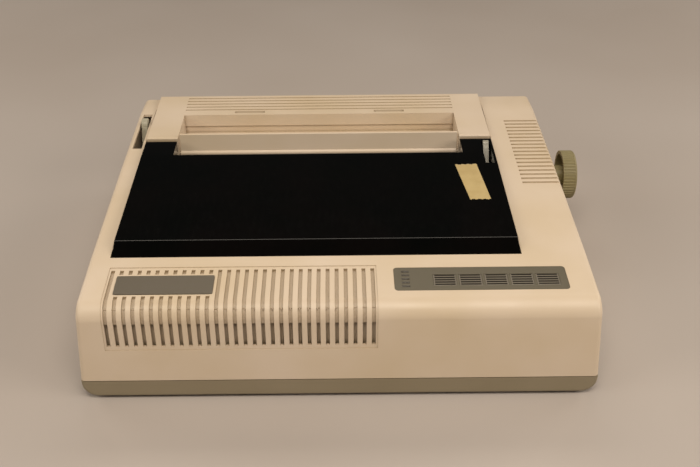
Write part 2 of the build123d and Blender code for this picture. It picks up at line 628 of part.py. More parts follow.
SIDE_BLOCKS = ((COVER_L, NOTCH_X[0]), (NOTCH_X[1], COVER_R))
with BuildPart() as rear_cover:
    side_outline([(REAR_FRONT_Y, REAR_FLOOR_Z), (REAR_FRONT_Y, REAR_TOP_Z), (REAR_PIVOT[0], REAR_TOP_Z),
                  (REAR_PIVOT[0], REAR_FLOOR_Z)], COVER_L, COVER_R)
    rod_x(*REAR_PIVOT, REAR_NOSE, COVER_L, COVER_R)
    fillet(rear_cover.edges().filter_by(Axis.X).filter_by(
        lambda e: abs(e.center().Y - REAR_FRONT_Y) < 0.5 and e.center().Z > REAR_TOP_Z - 1), 1.0)
    block(NOTCH_X, (REAR_FRONT_Y - 1, TROUGH_BACK_Y), (80, 120), mode=Mode.SUBTRACT)
    # hollow under the rear deck and the side blocks
    block((COVER_L + WALL, COVER_R - WALL), (TROUGH_BACK_Y + REAR_WALL_T, REAR_PIVOT[0] - REAR_NOSE),
          (80, REAR_TOP_Z - WALL), mode=Mode.SUBTRACT)
    for x0, x1 in SIDE_BLOCKS:
        block((x0 + WALL, x1 - WALL), (REAR_FRONT_Y + WALL, TROUGH_BACK_Y + 5), (80, REAR_TOP_Z - WALL),
              mode=Mode.SUBTRACT)
    # trough: rear wall and a floor that falls towards the platen
    side_outline([(TROUGH_BACK_Y, REAR_TOP_Z - 1), (TROUGH_BACK_Y + 2.5, TROUGH_FLOOR_Z),
                  (TROUGH_LIP[0], TROUGH_LIP[1]), (TROUGH_LIP[0], TROUGH_LIP[1] - 2),
                  (TROUGH_BACK_Y + 5, TROUGH_FLOOR_Z - 2), (TROUGH_BACK_Y + REAR_WALL_T, REAR_TOP_Z - 1)],
                 NOTCH_X[0] - WALL, NOTCH_X[1] + WALL)
    for x0, x1 in ((NOTCH_X[0] - WALL, NOTCH_X[0]), (NOTCH_X[1], NOTCH_X[1] + WALL)):
        side_outline([(REAR_FRONT_Y, REAR_TOP_Z - 3), (TROUGH_BACK_Y + 1, REAR_TOP_Z - 3),
                      (TROUGH_BACK_Y + 3, TROUGH_FLOOR_Z - 1), (TROUGH_LIP[0], TROUGH_LIP[1] - 1),
                      (REAR_FRONT_Y, REAR_FLOOR_Z - 9)], x0, x1)
    # ribs across the rear deck, and the two paper slots in front of them
    with BuildSketch(Plane.XY.offset(REAR_TOP_Z - 0.7)) as deck_grooves:
        for rib in range(DECK_RIBS):
            with Locations((COVER_MID_X, SLOT_Y + SLOT_SIZE[1] / 2 + 3.5 + DECK_RIB_PITCH * rib)):
                Rectangle(2 * NOTCH_HALF, 2.0)
    extrude(deck_grooves.sketch, amount=3, mode=Mode.SUBTRACT)
    with BuildSketch(Plane.XY.offset(REAR_TOP_Z - WALL - 1)) as deck_slots:
        with Locations(*[(x, SLOT_Y + 1) for x in SLOT_X]):
            Rectangle(SLOT_SIZE[0], SLOT_SIZE[1] - 2)
    extrude(deck_slots.sketch, amount=5, mode=Mode.SUBTRACT)
    rod_x(*GUIDE_PIVOT, GUIDE_PIN + RUN_FIT, NOTCH_X[0] - WALL - 1, NOTCH_X[1] + WALL + 1,
          mode=Mode.SUBTRACT)
    for x0, x1 in ((COVER_L - COVER_GAP - RIM + GAP, COVER_L), (COVER_R, COVER_R + COVER_GAP + RIM - GAP)):
        rod_x(*REAR_PIVOT, REAR_PIN, x0, x1)
hand_over(rear_cover, "rear_cover")

GUIDE_FRONT = GUIDE_PIVOT[0] - GUIDE_THICK / 2
with BuildPart() as paper_guide:
    side_outline([(GUIDE_FRONT, GUIDE_PIVOT[1]), (GUIDE_FRONT, GUIDE_TOP_Z),
                  (GUIDE_FRONT + GUIDE_THICK, GUIDE_TOP_Z), (GUIDE_FRONT + GUIDE_THICK, GUIDE_PIVOT[1])],
                 COVER_MID_X - GUIDE_HALF, COVER_MID_X + GUIDE_HALF)
    fillet(paper_guide.edges().filter_by(Axis.X).group_by(Axis.Z)[-1], 0.8)
    rod_x(*GUIDE_PIVOT, GUIDE_PIN + 1.2, COVER_MID_X - GUIDE_HALF, COVER_MID_X + GUIDE_HALF)
    for x0, x1 in ((NOTCH_X[0] - WALL, COVER_MID_X - GUIDE_HALF),
                   (COVER_MID_X + GUIDE_HALF, NOTCH_X[1] + WALL)):
        rod_x(*GUIDE_PIVOT, GUIDE_PIN, x0, x1)
hand_over(paper_guide, "paper_guide")


# =================================================================================
# Mechanism: frames, platen and paper path
# =================================================================================
PAN_Y = (164.0, 222.0)
FRAME_SIDE = [(112, 34), (112, 56), (164, 57), (196, 77), (232, 77), (236, 82), (252, 82), (258, 77),
              (300, 73), (318, 62), (318, 30), (306, FRAME_FOOT_Z), (218, FRAME_FOOT_Z), (214, PAN_Z),
              (174, PAN_Z), (171, FRAME_FOOT_Z), (156, FRAME_FOOT_Z), (148, 32)]
CROSS_TIE = (298.0, 27.5, 4.0)

for frame, (x0, x1) in (("left_frame", (FRAME_L - FRAME_T, FRAME_L)),
                        ("right_frame", (FRAME_R, FRAME_R + FRAME_T))):
    with BuildPart() as plate:
        side_outline(FRAME_SIDE, x0, x1, round_by=3.0)
        # foot flange bent outwards over the tray's posts
        for x, y in POSTS:
            if (x < 0) == (x0 < 0):
                block((min(x - POST_RADIUS, x1), max(x + POST_RADIUS, x0)), (y - 8, y + 8),
                      (FRAME_FOOT_Z, FRAME_FOOT_Z + FRAME_T))
        rod_x(*PLATEN, BUSH_RADIUS + RUN_FIT, x0 - 1, x1 + 1, mode=Mode.SUBTRACT)
        rod_x(*FRONT_ROD, x0 - 1, x1 + 1, mode=Mode.SUBTRACT)
        rod_x(*REAR_ROD, x0 - 1, x1 + 1, mode=Mode.SUBTRACT)
        rod_x(*RELEASE, RELEASE_R + RUN_FIT, x0 - 1, x1 + 1, mode=Mode.SUBTRACT)
        rod_x(*TRACTOR, TRACTOR_SHAFT_R + RUN_FIT, x0 - 1, x1 + 1, mode=Mode.SUBTRACT)
        for window in ((130.0, 45.0, 6.0), (238.0, 34.0, 6.0)):
            rod_x(*window, x0 - 1, x1 + 1, mode=Mode.SUBTRACT)
    hand_over(plate, frame)

with BuildPart() as guide_rods:
    for rod in (FRONT_ROD, REAR_ROD):
        rod_x(*rod, FRAME_L - FRAME_T, FRAME_R + FRAME_T)
    rod_x(*SUPPORT_ROD, FRAME_L, FRAME_R)
hand_over(guide_rods, "guide_rods")

with BuildPart() as floor_plate:
    block((FRAME_L, FRAME_R), PAN_Y, (PAN_Z - 1.5, PAN_Z))
    for x0, x1 in ((FRAME_L, FRAME_L + 1.5), (FRAME_R - 1.5, FRAME_R)):
        for y0, y1 in ((PAN_Y[0], 172), (216, PAN_Y[1])):
            block((x0, x1), (y0, y1), (PAN_Z - 7, PAN_Z))
    rod_z(PULLEY_X[0], BELT_Y, MOTOR_SHAFT_R + 0.6, PAN_Z - 3, PAN_Z + 1, mode=Mode.SUBTRACT)
    # stud that carries the idler pulley
    rod_z(PULLEY_X[1], BELT_Y, MOTOR_SHAFT_R + 3, PAN_Z, PULLEY_Z[0] - GAP)
    rod_z(PULLEY_X[1], BELT_Y, MOTOR_SHAFT_R, PAN_Z, PULLEY_Z[1] + 1.0)
    rod_z(PULLEY_X[1], BELT_Y, MOTOR_SHAFT_R + 1.5, PULLEY_Z[1] + GAP, PULLEY_Z[1] + 1.0)
    rod_x(*CROSS_TIE, FRAME_L, FRAME_R)
hand_over(floor_plate, "floor_plate")

with BuildPart() as platen_shaft:
    rod_x(*PLATEN, SHAFT_RADIUS, FRAME_L - 14, KNOB_X + KNOB_LENGTH - 2)
    rod_x(*PLATEN, PLATEN_CORE, FRAME_MID_X - PLATEN_HALF, FRAME_MID_X + PLATEN_HALF)
hand_over(platen_shaft, "platen_shaft")

with BuildPart() as platen_rubber:
    rod_x(*PLATEN, PLATEN_RADIUS, FRAME_MID_X - PLATEN_HALF, FRAME_MID_X + PLATEN_HALF)
    rod_x(*PLATEN, PLATEN_CORE, FRAME_MID_X - PLATEN_HALF, FRAME_MID_X + PLATEN_HALF, mode=Mode.SUBTRACT)
hand_over(platen_rubber, "platen_rubber")

with BuildPart() as platen_bushes:
    for x0, x1, cap in ((FRAME_L - FRAME_T, FRAME_L, -1), (FRAME_R, FRAME_R + FRAME_T, 1)):
        rod_x(*PLATEN, BUSH_RADIUS, x0, x1)
        flange = x0 - 1.2 if cap < 0 else x1
        rod_x(*PLATEN, BUSH_RADIUS + 2.5, flange, flange + 1.2)
        rod_x(*PLATEN, SHAFT_RADIUS + RUN_FIT, x0 - 3, x1 + 3, mode=Mode.SUBTRACT)
hand_over(platen_bushes, "platen_bushes")

with BuildPart() as platen_knob:
    rod_x(*PLATEN, KNOB_RADIUS, KNOB_X, KNOB_X + KNOB_LENGTH)
    fillet(platen_knob.edges().filter_by(GeomType.CIRCLE).sort_by(Axis.X)[-1], 2.5)
    with BuildSketch(Plane.YZ.offset(KNOB_X)) as flutes:
        with Locations(PLATEN):
            with PolarLocations(KNOB_RADIUS + 0.4, KNOB_RIBS):
                Circle(0.95)
    extrude(flutes.sketch, amount=KNOB_LENGTH - 2, mode=Mode.SUBTRACT)
    # dished inner face and hub that runs into the case
    rod_x(*PLATEN, KNOB_RADIUS - 3.5, KNOB_X - 1, KNOB_X + 6, mode=Mode.SUBTRACT)
    rod_x(*PLATEN, HUB_RADIUS, side_x(PLATEN[1]) - 4, KNOB_X + 7)
    rod_x(*PLATEN, SHAFT_RADIUS + RUN_FIT, 180, KNOB_X + KNOB_LENGTH - 2 + 0.2, mode=Mode.SUBTRACT)
hand_over(platen_knob, "platen_knob")

# gear train on the outside of the left frame
GEAR_X = (FRAME_L - FRAME_T - 3.0 - GEAR_WIDTH, FRAME_L - FRAME_T - 3.0)
IDLER_ANGLE = atan2(TRACTOR[1] - PLATEN[1], TRACTOR[0] - PLATEN[0])
IDLER_REACH = MODULE * (PLATEN_TEETH + IDLER_TEETH) / 2 + CENTRE_PLAY
TRACTOR_REACH = MODULE * (IDLER_TEETH + TRACTOR_TEETH) / 2 + CENTRE_PLAY
PINION_REACH = MODULE * (PLATEN_TEETH + PINION_TEETH) / 2 + CENTRE_PLAY
SPAN = hypot(TRACTOR[0] - PLATEN[0], TRACTOR[1] - PLATEN[1])
LIFT = ((IDLER_REACH ** 2 - TRACTOR_REACH ** 2 + SPAN ** 2) / (2 * SPAN))
IDLER_SWING = atan2((IDLER_REACH ** 2 - LIFT ** 2) ** 0.5, LIFT)
IDLER_DIRECTION = IDLER_ANGLE + IDLER_SWING
IDLER = (PLATEN[0] + IDLER_REACH * cos(IDLER_DIRECTION), PLATEN[1] + IDLER_REACH * sin(IDLER_DIRECTION))
PINION_DIRECTION = radians(-120)
PINION = (PLATEN[0] + PINION_REACH * cos(PINION_DIRECTION), PLATEN[1] + PINION_REACH * sin(PINION_DIRECTION))


def mesh_turn(teeth, direction, partner_teeth, partner_turn=0.0):
    """Turn that puts a gap of this gear opposite a tooth of its partner, in degrees."""
    line = degrees(direction)
    phase = (line - partner_turn) * partner_teeth / 360
    phase -= round(phase)
    return line + 180 + 180 / teeth + phase * 360 / teeth


IDLER_TURN = mesh_turn(IDLER_TEETH, IDLER_DIRECTION, PLATEN_TEETH)
TRACTOR_DIRECTION = atan2(TRACTOR[1] - IDLER[1], TRACTOR[0] - IDLER[0])
TRACTOR_TURN = mesh_turn(TRACTOR_TEETH, TRACTOR_DIRECTION, IDLER_TEETH, IDLER_TURN)
PINION_TURN = mesh_turn(PINION_TEETH, PINION_DIRECTION, PLATEN_TEETH)

with BuildPart() as platen_gear:
    gear_x(*PLATEN, PLATEN_TEETH, *GEAR_X)
    rod_x(*PLATEN, 7.0, GEAR_X[0] - 3, GEAR_X[1])
    with BuildSketch(Plane.YZ.offset(GEAR_X[0])) as windows:
        with Locations(PLATEN):
            with PolarLocations(11.5, 6):
                Circle(2.8)
    extrude(windows.sketch, amount=GEAR_WIDTH, mode=Mode.SUBTRACT)
    rod_x(*PLATEN, SHAFT_RADIUS, GEAR_X[0] - 4, GEAR_X[1] + 1, mode=Mode.SUBTRACT)
hand_over(platen_gear, "platen_gear")

with BuildPart() as idler_gear:
    gear_x(*IDLER, IDLER_TEETH, *GEAR_X, turn=IDLER_TURN)
    rod_x(*IDLER, IDLER_PIN_R + RUN_FIT, GEAR_X[0] - 1, GEAR_X[1] + 1, mode=Mode.SUBTRACT)
hand_over(idler_gear, "idler_gear")

FEED_MOTOR_X = (GEAR_X[0] - 26.0, GEAR_X[0] - 4.0)
with BuildPart() as feed_motor:
    rod_x(*PINION, FEED_MOTOR_R, *FEED_MOTOR_X)
    rod_x(*PINION, 5.0, FEED_MOTOR_X[1], FEED_MOTOR_X[1] + 1.2)
    # mounting plate, two stand-offs to the frame
    with BuildSketch(Plane.YZ.offset(FEED_MOTOR_X[1])) as ears:
        with Locations(PINION):
            SlotOverall(2 * FEED_MOTOR_R + 18, 13)
            Circle(5.0, mode=Mode.SUBTRACT)
    extrude(ears.sketch, amount=1.0)
    with BuildSketch(Plane.YZ.offset(FEED_MOTOR_X[1])) as stand_offs:
        with Locations(PINION):
            with PolarLocations(FEED_MOTOR_R + 4, 2):
                Circle(2.5)
    extrude(stand_offs.sketch, amount=FRAME_L - FRAME_T - FEED_MOTOR_X[1])
hand_over(feed_motor, "feed_motor")

with BuildPart() as motor_pinion:
    gear_x(*PINION, PINION_TEETH, *GEAR_X, turn=PINION_TURN)
    rod_x(*PINION, 2.2, FEED_MOTOR_X[1] + 1.2 + GAP, GEAR_X[1])
hand_over(motor_pinion, "motor_pinion")

PAN_GAP = 1.2
with BuildPart() as paper_pan:
    with BuildSketch(Plane.YZ.offset(FRAME_MID_X - PLATEN_HALF + 2)) as pan:
        with Locations(PLATEN):
            Circle(PLATEN_RADIUS + PAN_GAP + 1.0)
            Circle(PLATEN_RADIUS + PAN_GAP, mode=Mode.SUBTRACT)
        with BuildLine():
            Polyline(PLATEN, (PLATEN[0] - 40, PLATEN[1] - 22), (PLATEN[0] - 40, PLATEN[1] + 40),
                     (PLATEN[0] + 40, PLATEN[1] + 40), (PLATEN[0] + 40, PLATEN[1] + 8), close=True)
        make_face(mode=Mode.SUBTRACT)
        with BuildLine():
            Polyline((PLATEN[0] + 2, PLATEN[1] - 14), (PLATEN[0] + 2, PLATEN[1] - 40),
                     (PLATEN[0] + 13, PLATEN[1] - 40), (PLATEN[0] + 13, PLATEN[1] - 8), close=True)
        make_face(mode=Mode.SUBTRACT)
    extrude(pan.sketch, amount=2 * (PLATEN_HALF - 2))
    # end brackets down to the frames
    for x0, x1 in ((FRAME_L, FRAME_MID_X - PLATEN_HALF + 4), (FRAME_MID_X + PLATEN_HALF - 4, FRAME_R)):
        block((x0, x1), (PLATEN[0] - 15.6, PLATEN[0] - 11.6), (PLATEN[1] - 18, PLATEN[1] - 12))
        block((x0, x1), (PLATEN[0] + 17.4, PLATEN[0] + 20.2), (PLATEN[1] - 8, PLATEN[1] + 2))
hand_over(paper_pan, "paper_pan")

# paper release: lever outside the frame, shaft across, two arms with the pressure rollers
PRESS_REACH = PLATEN_RADIUS + PRESS_ROLLER_R + 0.06
PRESS_ANGLE = radians(-70)
PRESS = (PLATEN[0] + PRESS_REACH * cos(PRESS_ANGLE), PLATEN[1] + PRESS_REACH * sin(PRESS_ANGLE))
PRESS_ARMS = (-95.0, -35.0, 35.0, 95.0)
with BuildPart() as release_shaft:
    rod_x(*RELEASE, RELEASE_R, RELEASE_LEVER_X[0], FRAME_R + FRAME_T + 3)
    for arm in PRESS_ARMS:
        with BuildSketch(Plane.YZ.offset(FRAME_MID_X + arm - 1.5)) as web:
            with BuildLine():
                Polyline((RELEASE[0], RELEASE[1] - 5), (RELEASE[0], RELEASE[1] + 5),
                         (PRESS[0], PRESS[1] + 3.6), (PRESS[0], PRESS[1] - 3.6), close=True)
            make_face()
            with Locations(RELEASE):
                Circle(5.5)
            with Locations(PRESS):
                Circle(3.8)
                Circle(1.5 + RUN_FIT, mode=Mode.SUBTRACT)
        extrude(web.sketch, amount=3.0)
hand_over(release_shaft, "release_shaft")

with BuildPart() as pressure_rollers:
    rod_x(*PRESS, 1.5, FRAME_MID_X + PRESS_ARMS[0] - 22, FRAME_MID_X + PRESS_ARMS[-1] + 22)
    for arm in PRESS_ARMS:
        for side in (-1, 1):
            middle = FRAME_MID_X + arm + side * 12.5
            rod_x(*PRESS, PRESS_ROLLER_R, middle - 8, middle + 8)
hand_over(pressure_rollers, "pressure_rollers")

with BuildPart() as release_lever:
    with BuildSketch(Plane.YZ.offset(RELEASE_LEVER_X[0])) as blade:
        with BuildLine():
            Polyline((RELEASE[0] - 7, RELEASE[1]), (RELEASE_TOP[0] - 8, RELEASE_TOP[1] - 4),
                     (RELEASE_TOP[0] + 3, RELEASE_TOP[1] - 4), (RELEASE[0] + 7, RELEASE[1]), close=True)
        make_face()
        with Locations(RELEASE):
            Circle(7.5)
        with Locations((RELEASE_TOP[0] - 2.5, RELEASE_TOP[1] - 5)):
            Circle(6.0)
        with Locations(RELEASE):
            Circle(RELEASE_R, mode=Mode.SUBTRACT)
    extrude(blade.sketch, amount=RELEASE_LEVER_X[1] - RELEASE_LEVER_X[0])
hand_over(release_lever, "release_lever")

# paper bail
BAIL_ARMS = ((FRAME_L - FRAME_T - 2.4, FRAME_L - FRAME_T - 0.8),
             (FRAME_R + FRAME_T + 0.8, FRAME_R + FRAME_T + 2.4))
with BuildPart() as bail:
    rod_x(*BAIL_BAR, BAIL_BAR_R, BAIL_ARMS[0][0], BAIL_LEVER_X[1])
    for x0, x1 in BAIL_ARMS:
        with BuildSketch(Plane.YZ.offset(x0)) as arm:
            with BuildLine():
                Polyline((BAIL_PIVOT[0] - 4.5, BAIL_PIVOT[1]), (BAIL_BAR[0] - 4.0, BAIL_BAR[1]),
                         (BAIL_BAR[0] + 4.0, BAIL_BAR[1]), (BAIL_PIVOT[0] + 4.5, BAIL_PIVOT[1]), close=True)
            make_face()
            with Locations(BAIL_PIVOT):
                Circle(5.0)
                Circle(BAIL_STUD_R + RUN_FIT, mode=Mode.SUBTRACT)
            with Locations(BAIL_BAR):
                Circle(4.2)
        extrude(arm.sketch, amount=x1 - x0)
    with BuildSketch(Plane.YZ.offset(BAIL_LEVER_X[0])) as lever:
        with BuildLine():
            Polyline((BAIL_BAR[0] - 4.5, BAIL_BAR[1]), (BAIL_LEVER_TOP[0] - 3.5, BAIL_LEVER_TOP[1] - 3),
                     (BAIL_LEVER_TOP[0] + 2.0, BAIL_LEVER_TOP[1] - 5), (BAIL_BAR[0] + 4.5, BAIL_BAR[1]),
                     close=True)
        make_face()
        with Locations(BAIL_BAR):
            Circle(4.5)
        with Locations((BAIL_LEVER_TOP[0] - 0.6, BAIL_LEVER_TOP[1] - 4)):
            Circle(3.2)
    extrude(lever.sketch, amount=BAIL_LEVER_X[1] - BAIL_LEVER_X[0])
hand_over(bail, "bail")

with BuildPart() as frame_studs:
    for x0, x1, head in ((BAIL_ARMS[0][0] - 0.8, FRAME_L - FRAME_T, BAIL_ARMS[0][0] - 1.8),
                         (FRAME_R + FRAME_T, BAIL_ARMS[1][1] + 0.8, BAIL_ARMS[1][1] + 0.8)):
        rod_x(*BAIL_PIVOT, BAIL_STUD_R, x0, x1)
        rod_x(*BAIL_PIVOT, BAIL_STUD_R + 1.5, head, head + 1.0)
    rod_x(*IDLER, IDLER_PIN_R, GEAR_X[0] - 1.6, FRAME_L - FRAME_T)
    rod_x(*IDLER, IDLER_PIN_R + 2, GEAR_X[0] - 2.4, GEAR_X[0] - 0.8)
    rod_x(*IDLER, IDLER_PIN_R + 2, GEAR_X[1] + 0.8, FRAME_L - FRAME_T)
hand_over(frame_studs, "frame_studs")

BAIL_ROLLERS = (-75.0, 0.0, 75.0)
with BuildPart() as bail_rollers:
    for roller in BAIL_ROLLERS:
        middle = FRAME_MID_X + roller
        rod_x(*BAIL_BAR, BAIL_ROLLER_R, middle - 7, middle + 7)
        fillet(bail_rollers.edges().filter_by(GeomType.CIRCLE).filter_by(
            lambda e: e.center().X > middle - 8 and e.center().X < middle + 8), 1.0)
    rod_x(*BAIL_BAR, BAIL_BAR_R + RUN_FIT, FRAME_MID_X - 90, FRAME_MID_X + 90, mode=Mode.SUBTRACT)
hand_over(bail_rollers, "bail_rollers")


# =================================================================================
# Carriage, print head and belt drive
# =================================================================================
CARRIAGE_Y = (170.0, 216.0)
CARRIAGE_X = (HEAD_X - CARRIAGE_HALF, HEAD_X + CARRIAGE_HALF)
HEAD_Z = PLATEN[1]
HEAD_NOSE_Y = RIBBON_Y - RIBBON_T / 2 - 0.5
BELT_SIDES = (BELT_Y - PULLEY_RADIUS - BELT_T / 2, BELT_Y + PULLEY_RADIUS + BELT_T / 2)

with BuildPart() as carriage:
    block(CARRIAGE_X, CARRIAGE_Y, (46.5, 55.0))
    block(CARRIAGE_X, (FRONT_ROD[0] - 8, FRONT_ROD[0] + 8), (42.0, 58.0))
    fillet(carriage.edges().filter_by(Axis.X).group_by(Axis.Z)[-1], 2.0)
    rod_x(*FRONT_ROD[:2], FRONT_ROD[2] + RUN_FIT, CARRIAGE_X[0] - 1, CARRIAGE_X[1] + 1, mode=Mode.SUBTRACT)
    # shoe over the rear rod
    block((HEAD_X - 9, HEAD_X + 9), (REAR_ROD[0] - 6, REAR_ROD[0] + 6), (38.5, 50.0))
    rod_x(*REAR_ROD[:2], REAR_ROD[2] + RUN_FIT, CARRIAGE_X[0] - 1, CARRIAGE_X[1] + 1, mode=Mode.SUBTRACT)
    shoe_half = REAR_ROD[2] + RUN_FIT
    block((HEAD_X - 10, HEAD_X + 10), (REAR_ROD[0] - shoe_half, REAR_ROD[0] + shoe_half),
          (30, REAR_ROD[1]), mode=Mode.SUBTRACT)
    # belt clamp
    block((HEAD_X - 8, HEAD_X + 8), (BELT_SIDES[0] - BELT_T / 2 - 1.6, BELT_SIDES[0] + BELT_T / 2 + 2),
          (BELT_Z - BELT_WIDTH / 2 - 1, 47.0))
    block((HEAD_X - 9, HEAD_X + 9), (BELT_SIDES[0] - BELT_T / 2 - GAP, BELT_SIDES[0] + BELT_T / 2 + GAP),
          (BELT_Z - BELT_WIDTH / 2 - 2, BELT_Z + BELT_WIDTH / 2 + GAP), mode=Mode.SUBTRACT)
    # saddle cheeks that hold the head
    for side in (-1, 1):
        x0 = HEAD_X + side * 16.5
        block((min(x0, x0 + side * 3), max(x0, x0 + side * 3)), (188, 214), (54.0, 61.0))
hand_over(carriage, "carriage")

HEAD_FINS = 7
with BuildPart() as print_head:
    with BuildSketch(Plane.XZ.offset(-187)) as disc:
        with Locations((HEAD_X, HEAD_Z)):
            Circle(12.0)
    extrude(disc.sketch, amount=-24)
    # cooling fins stacked towards the platen
    with BuildSketch(Plane.XZ.offset(-188.5)) as fin:
        with Locations((HEAD_X, HEAD_Z)):
            RectangleRounded(32.6, 25.6, 6.0)
    for step in range(HEAD_FINS):
        extrude(fin.sketch.moved(Location((0, 3.2 * step, 0))), amount=-1.5)
    with BuildSketch(Plane.XZ.offset(-209)) as base:
        with Locations((HEAD_X, HEAD_Z)):
            Circle(10.0)
    with BuildSketch(Plane.XZ.offset(-HEAD_NOSE_Y)) as tip:
        with Locations((HEAD_X, HEAD_Z)):
            Rectangle(5.0, 7.0)
    loft([base.sketch.faces()[0], tip.sketch.faces()[0]], ruled=True)
hand_over(print_head, "print_head")

with BuildPart() as ribbon_guide:
    # thin plate behind the ribbon with a window for the wires
    block((HEAD_X - 15, HEAD_X + 15), (HEAD_NOSE_Y - 1.6, HEAD_NOSE_Y - 1.1), (57.5, 76.5))
    block((HEAD_X - 15, HEAD_X + 15), (212.5, HEAD_NOSE_Y - 1.1), (55.0, 57.5))
    block((HEAD_X - 15, HEAD_X + 15), (210.0, 216.0), (55.0, 56.0))
    block((HEAD_X - 4.0, HEAD_X + 4.0), (HEAD_NOSE_Y - 3, HEAD_NOSE_Y + 2), (HEAD_Z - 5.5, HEAD_Z + 5.5),
          mode=Mode.SUBTRACT)
    fillet(ribbon_guide.edges().filter_by(Axis.Y).group_by(Axis.Z)[-1], 3.0)
hand_over(ribbon_guide, "ribbon_guide")

MOTOR_R = 19.0
MOTOR_Z = (7.0, PAN_Z - 1.5)
with BuildPart() as carriage_motor:
    rod_z(PULLEY_X[0], BELT_Y, MOTOR_R, *MOTOR_Z)
    chamfer(carriage_motor.edges().filter_by(GeomType.CIRCLE), 1.0)
    rod_z(PULLEY_X[0], BELT_Y, 2 * MOTOR_SHAFT_R - 1, MOTOR_Z[1] - 1, MOTOR_Z[1])
hand_over(carriage_motor, "carriage_motor")

PULLEY_TEETH = 20


def toothed_pulley(x, y, bore):
    """A toothed belt pulley with two flanges on an upright axis."""
    rod_z(x, y, PULLEY_RADIUS - 0.2, *PULLEY_Z)
    with BuildSketch(Plane.XY.offset(PULLEY_Z[0])) as notches:
        with Locations((x, y)):
            with PolarLocations(PULLEY_RADIUS, PULLEY_TEETH):
                Rectangle(1.4, 1.0)
    extrude(notches.sketch, amount=PULLEY_Z[1] - PULLEY_Z[0], mode=Mode.SUBTRACT)
    for z0 in (PULLEY_Z[0], PULLEY_Z[1] - 1.0):
        rod_z(x, y, PULLEY_RADIUS + 2.0, z0, z0 + 1.0)
    rod_z(x, y, bore, PULLEY_Z[0] - 1, PULLEY_Z[1] + 1, mode=Mode.SUBTRACT)


with BuildPart() as drive_pulley:
    toothed_pulley(PULLEY_X[0], BELT_Y, MOTOR_SHAFT_R)
    rod_z(PULLEY_X[0], BELT_Y, MOTOR_SHAFT_R, MOTOR_Z[1] + GAP, PULLEY_Z[1] + 1.0)
hand_over(drive_pulley, "drive_pulley")

with BuildPart() as idler_pulley:
    toothed_pulley(PULLEY_X[1], BELT_Y, MOTOR_SHAFT_R + RUN_FIT)
hand_over(idler_pulley, "idler_pulley")

with BuildPart() as drive_belt:
    length = PULLEY_X[1] - PULLEY_X[0]
    with BuildSketch(Plane.XY.offset(BELT_Z - BELT_WIDTH / 2)) as loop:
        with Locations((sum(PULLEY_X) / 2, BELT_Y)):
            SlotCenterToCenter(length, 2 * (PULLEY_RADIUS + BELT_T + GAP / 3))
            SlotCenterToCenter(length, 2 * (PULLEY_RADIUS + GAP / 3), mode=Mode.SUBTRACT)
    extrude(loop.sketch, amount=BELT_WIDTH)
hand_over(drive_belt, "drive_belt")


# =================================================================================
# Ribbon
# =================================================================================
SPOOL_HEIGHT = RIBBON_WIDTH + 3.0
PACK_RADII = (19.0, 15.0)
CORE_RADIUS = 8.0
for name, x, pack in (("left_spool", SPOOL_X[0], PACK_RADII[0]), ("right_spool", SPOOL_X[1], PACK_RADII[1])):
    with BuildPart() as spool:
        rod_z(x, SPOOL_Y, CORE_RADIUS, SPOOL_Z, SPOOL_Z + SPOOL_HEIGHT)
        for z0 in (SPOOL_Z, SPOOL_Z + SPOOL_HEIGHT - 1.0):
            rod_z(x, SPOOL_Y, SPOOL_RADIUS, z0, z0 + 1.0)
        with BuildSketch(Plane.XY.offset(SPOOL_Z)) as holes:
            with Locations((x, SPOOL_Y)):
                with PolarLocations(16.5, 5):
                    Circle(4.6)
        extrude(holes.sketch, amount=SPOOL_HEIGHT, mode=Mode.SUBTRACT)
        rod_z(x, SPOOL_Y, pack, SPOOL_Z + 1.3, SPOOL_Z + SPOOL_HEIGHT - 1.3)
        rod_z(x, SPOOL_Y, SPINDLE_R + RUN_FIT, SPOOL_Z - 1, SPOOL_Z + SPOOL_HEIGHT + 1, mode=Mode.SUBTRACT)
    hand_over(spool, name)

POST_R = 2.5
BAND_BEND = POST_R + GAP + RIBBON_T / 2
BAND_ENDS = [(SPOOL_X[0] + PACK_RADII[0] + RIBBON_T, SPOOL_Y + 4),
             (SPOOL_X[1] - PACK_RADII[1] - RIBBON_T, SPOOL_Y + 4)]
BAND_CORNERS = [(FRAME_L + 4.6, RIBBON_Y), (FRAME_R - 4.6, RIBBON_Y)]


def post_centre(corner, end, inward):
    """Centre of the round post inside a bend of the band."""
    reach = hypot(end[0] - corner[0], end[1] - corner[1])
    away = ((end[0] - corner[0]) / reach, (end[1] - corner[1]) / reach)
    half_turn = atan2(abs(away[1]), away[0] * inward) / 2
    middle = (away[0] + inward, away[1])
    size = hypot(*middle)
    return (corner[0] + middle[0] / size * BAND_BEND / sin(half_turn),
            corner[1] + middle[1] / size * BAND_BEND / sin(half_turn))


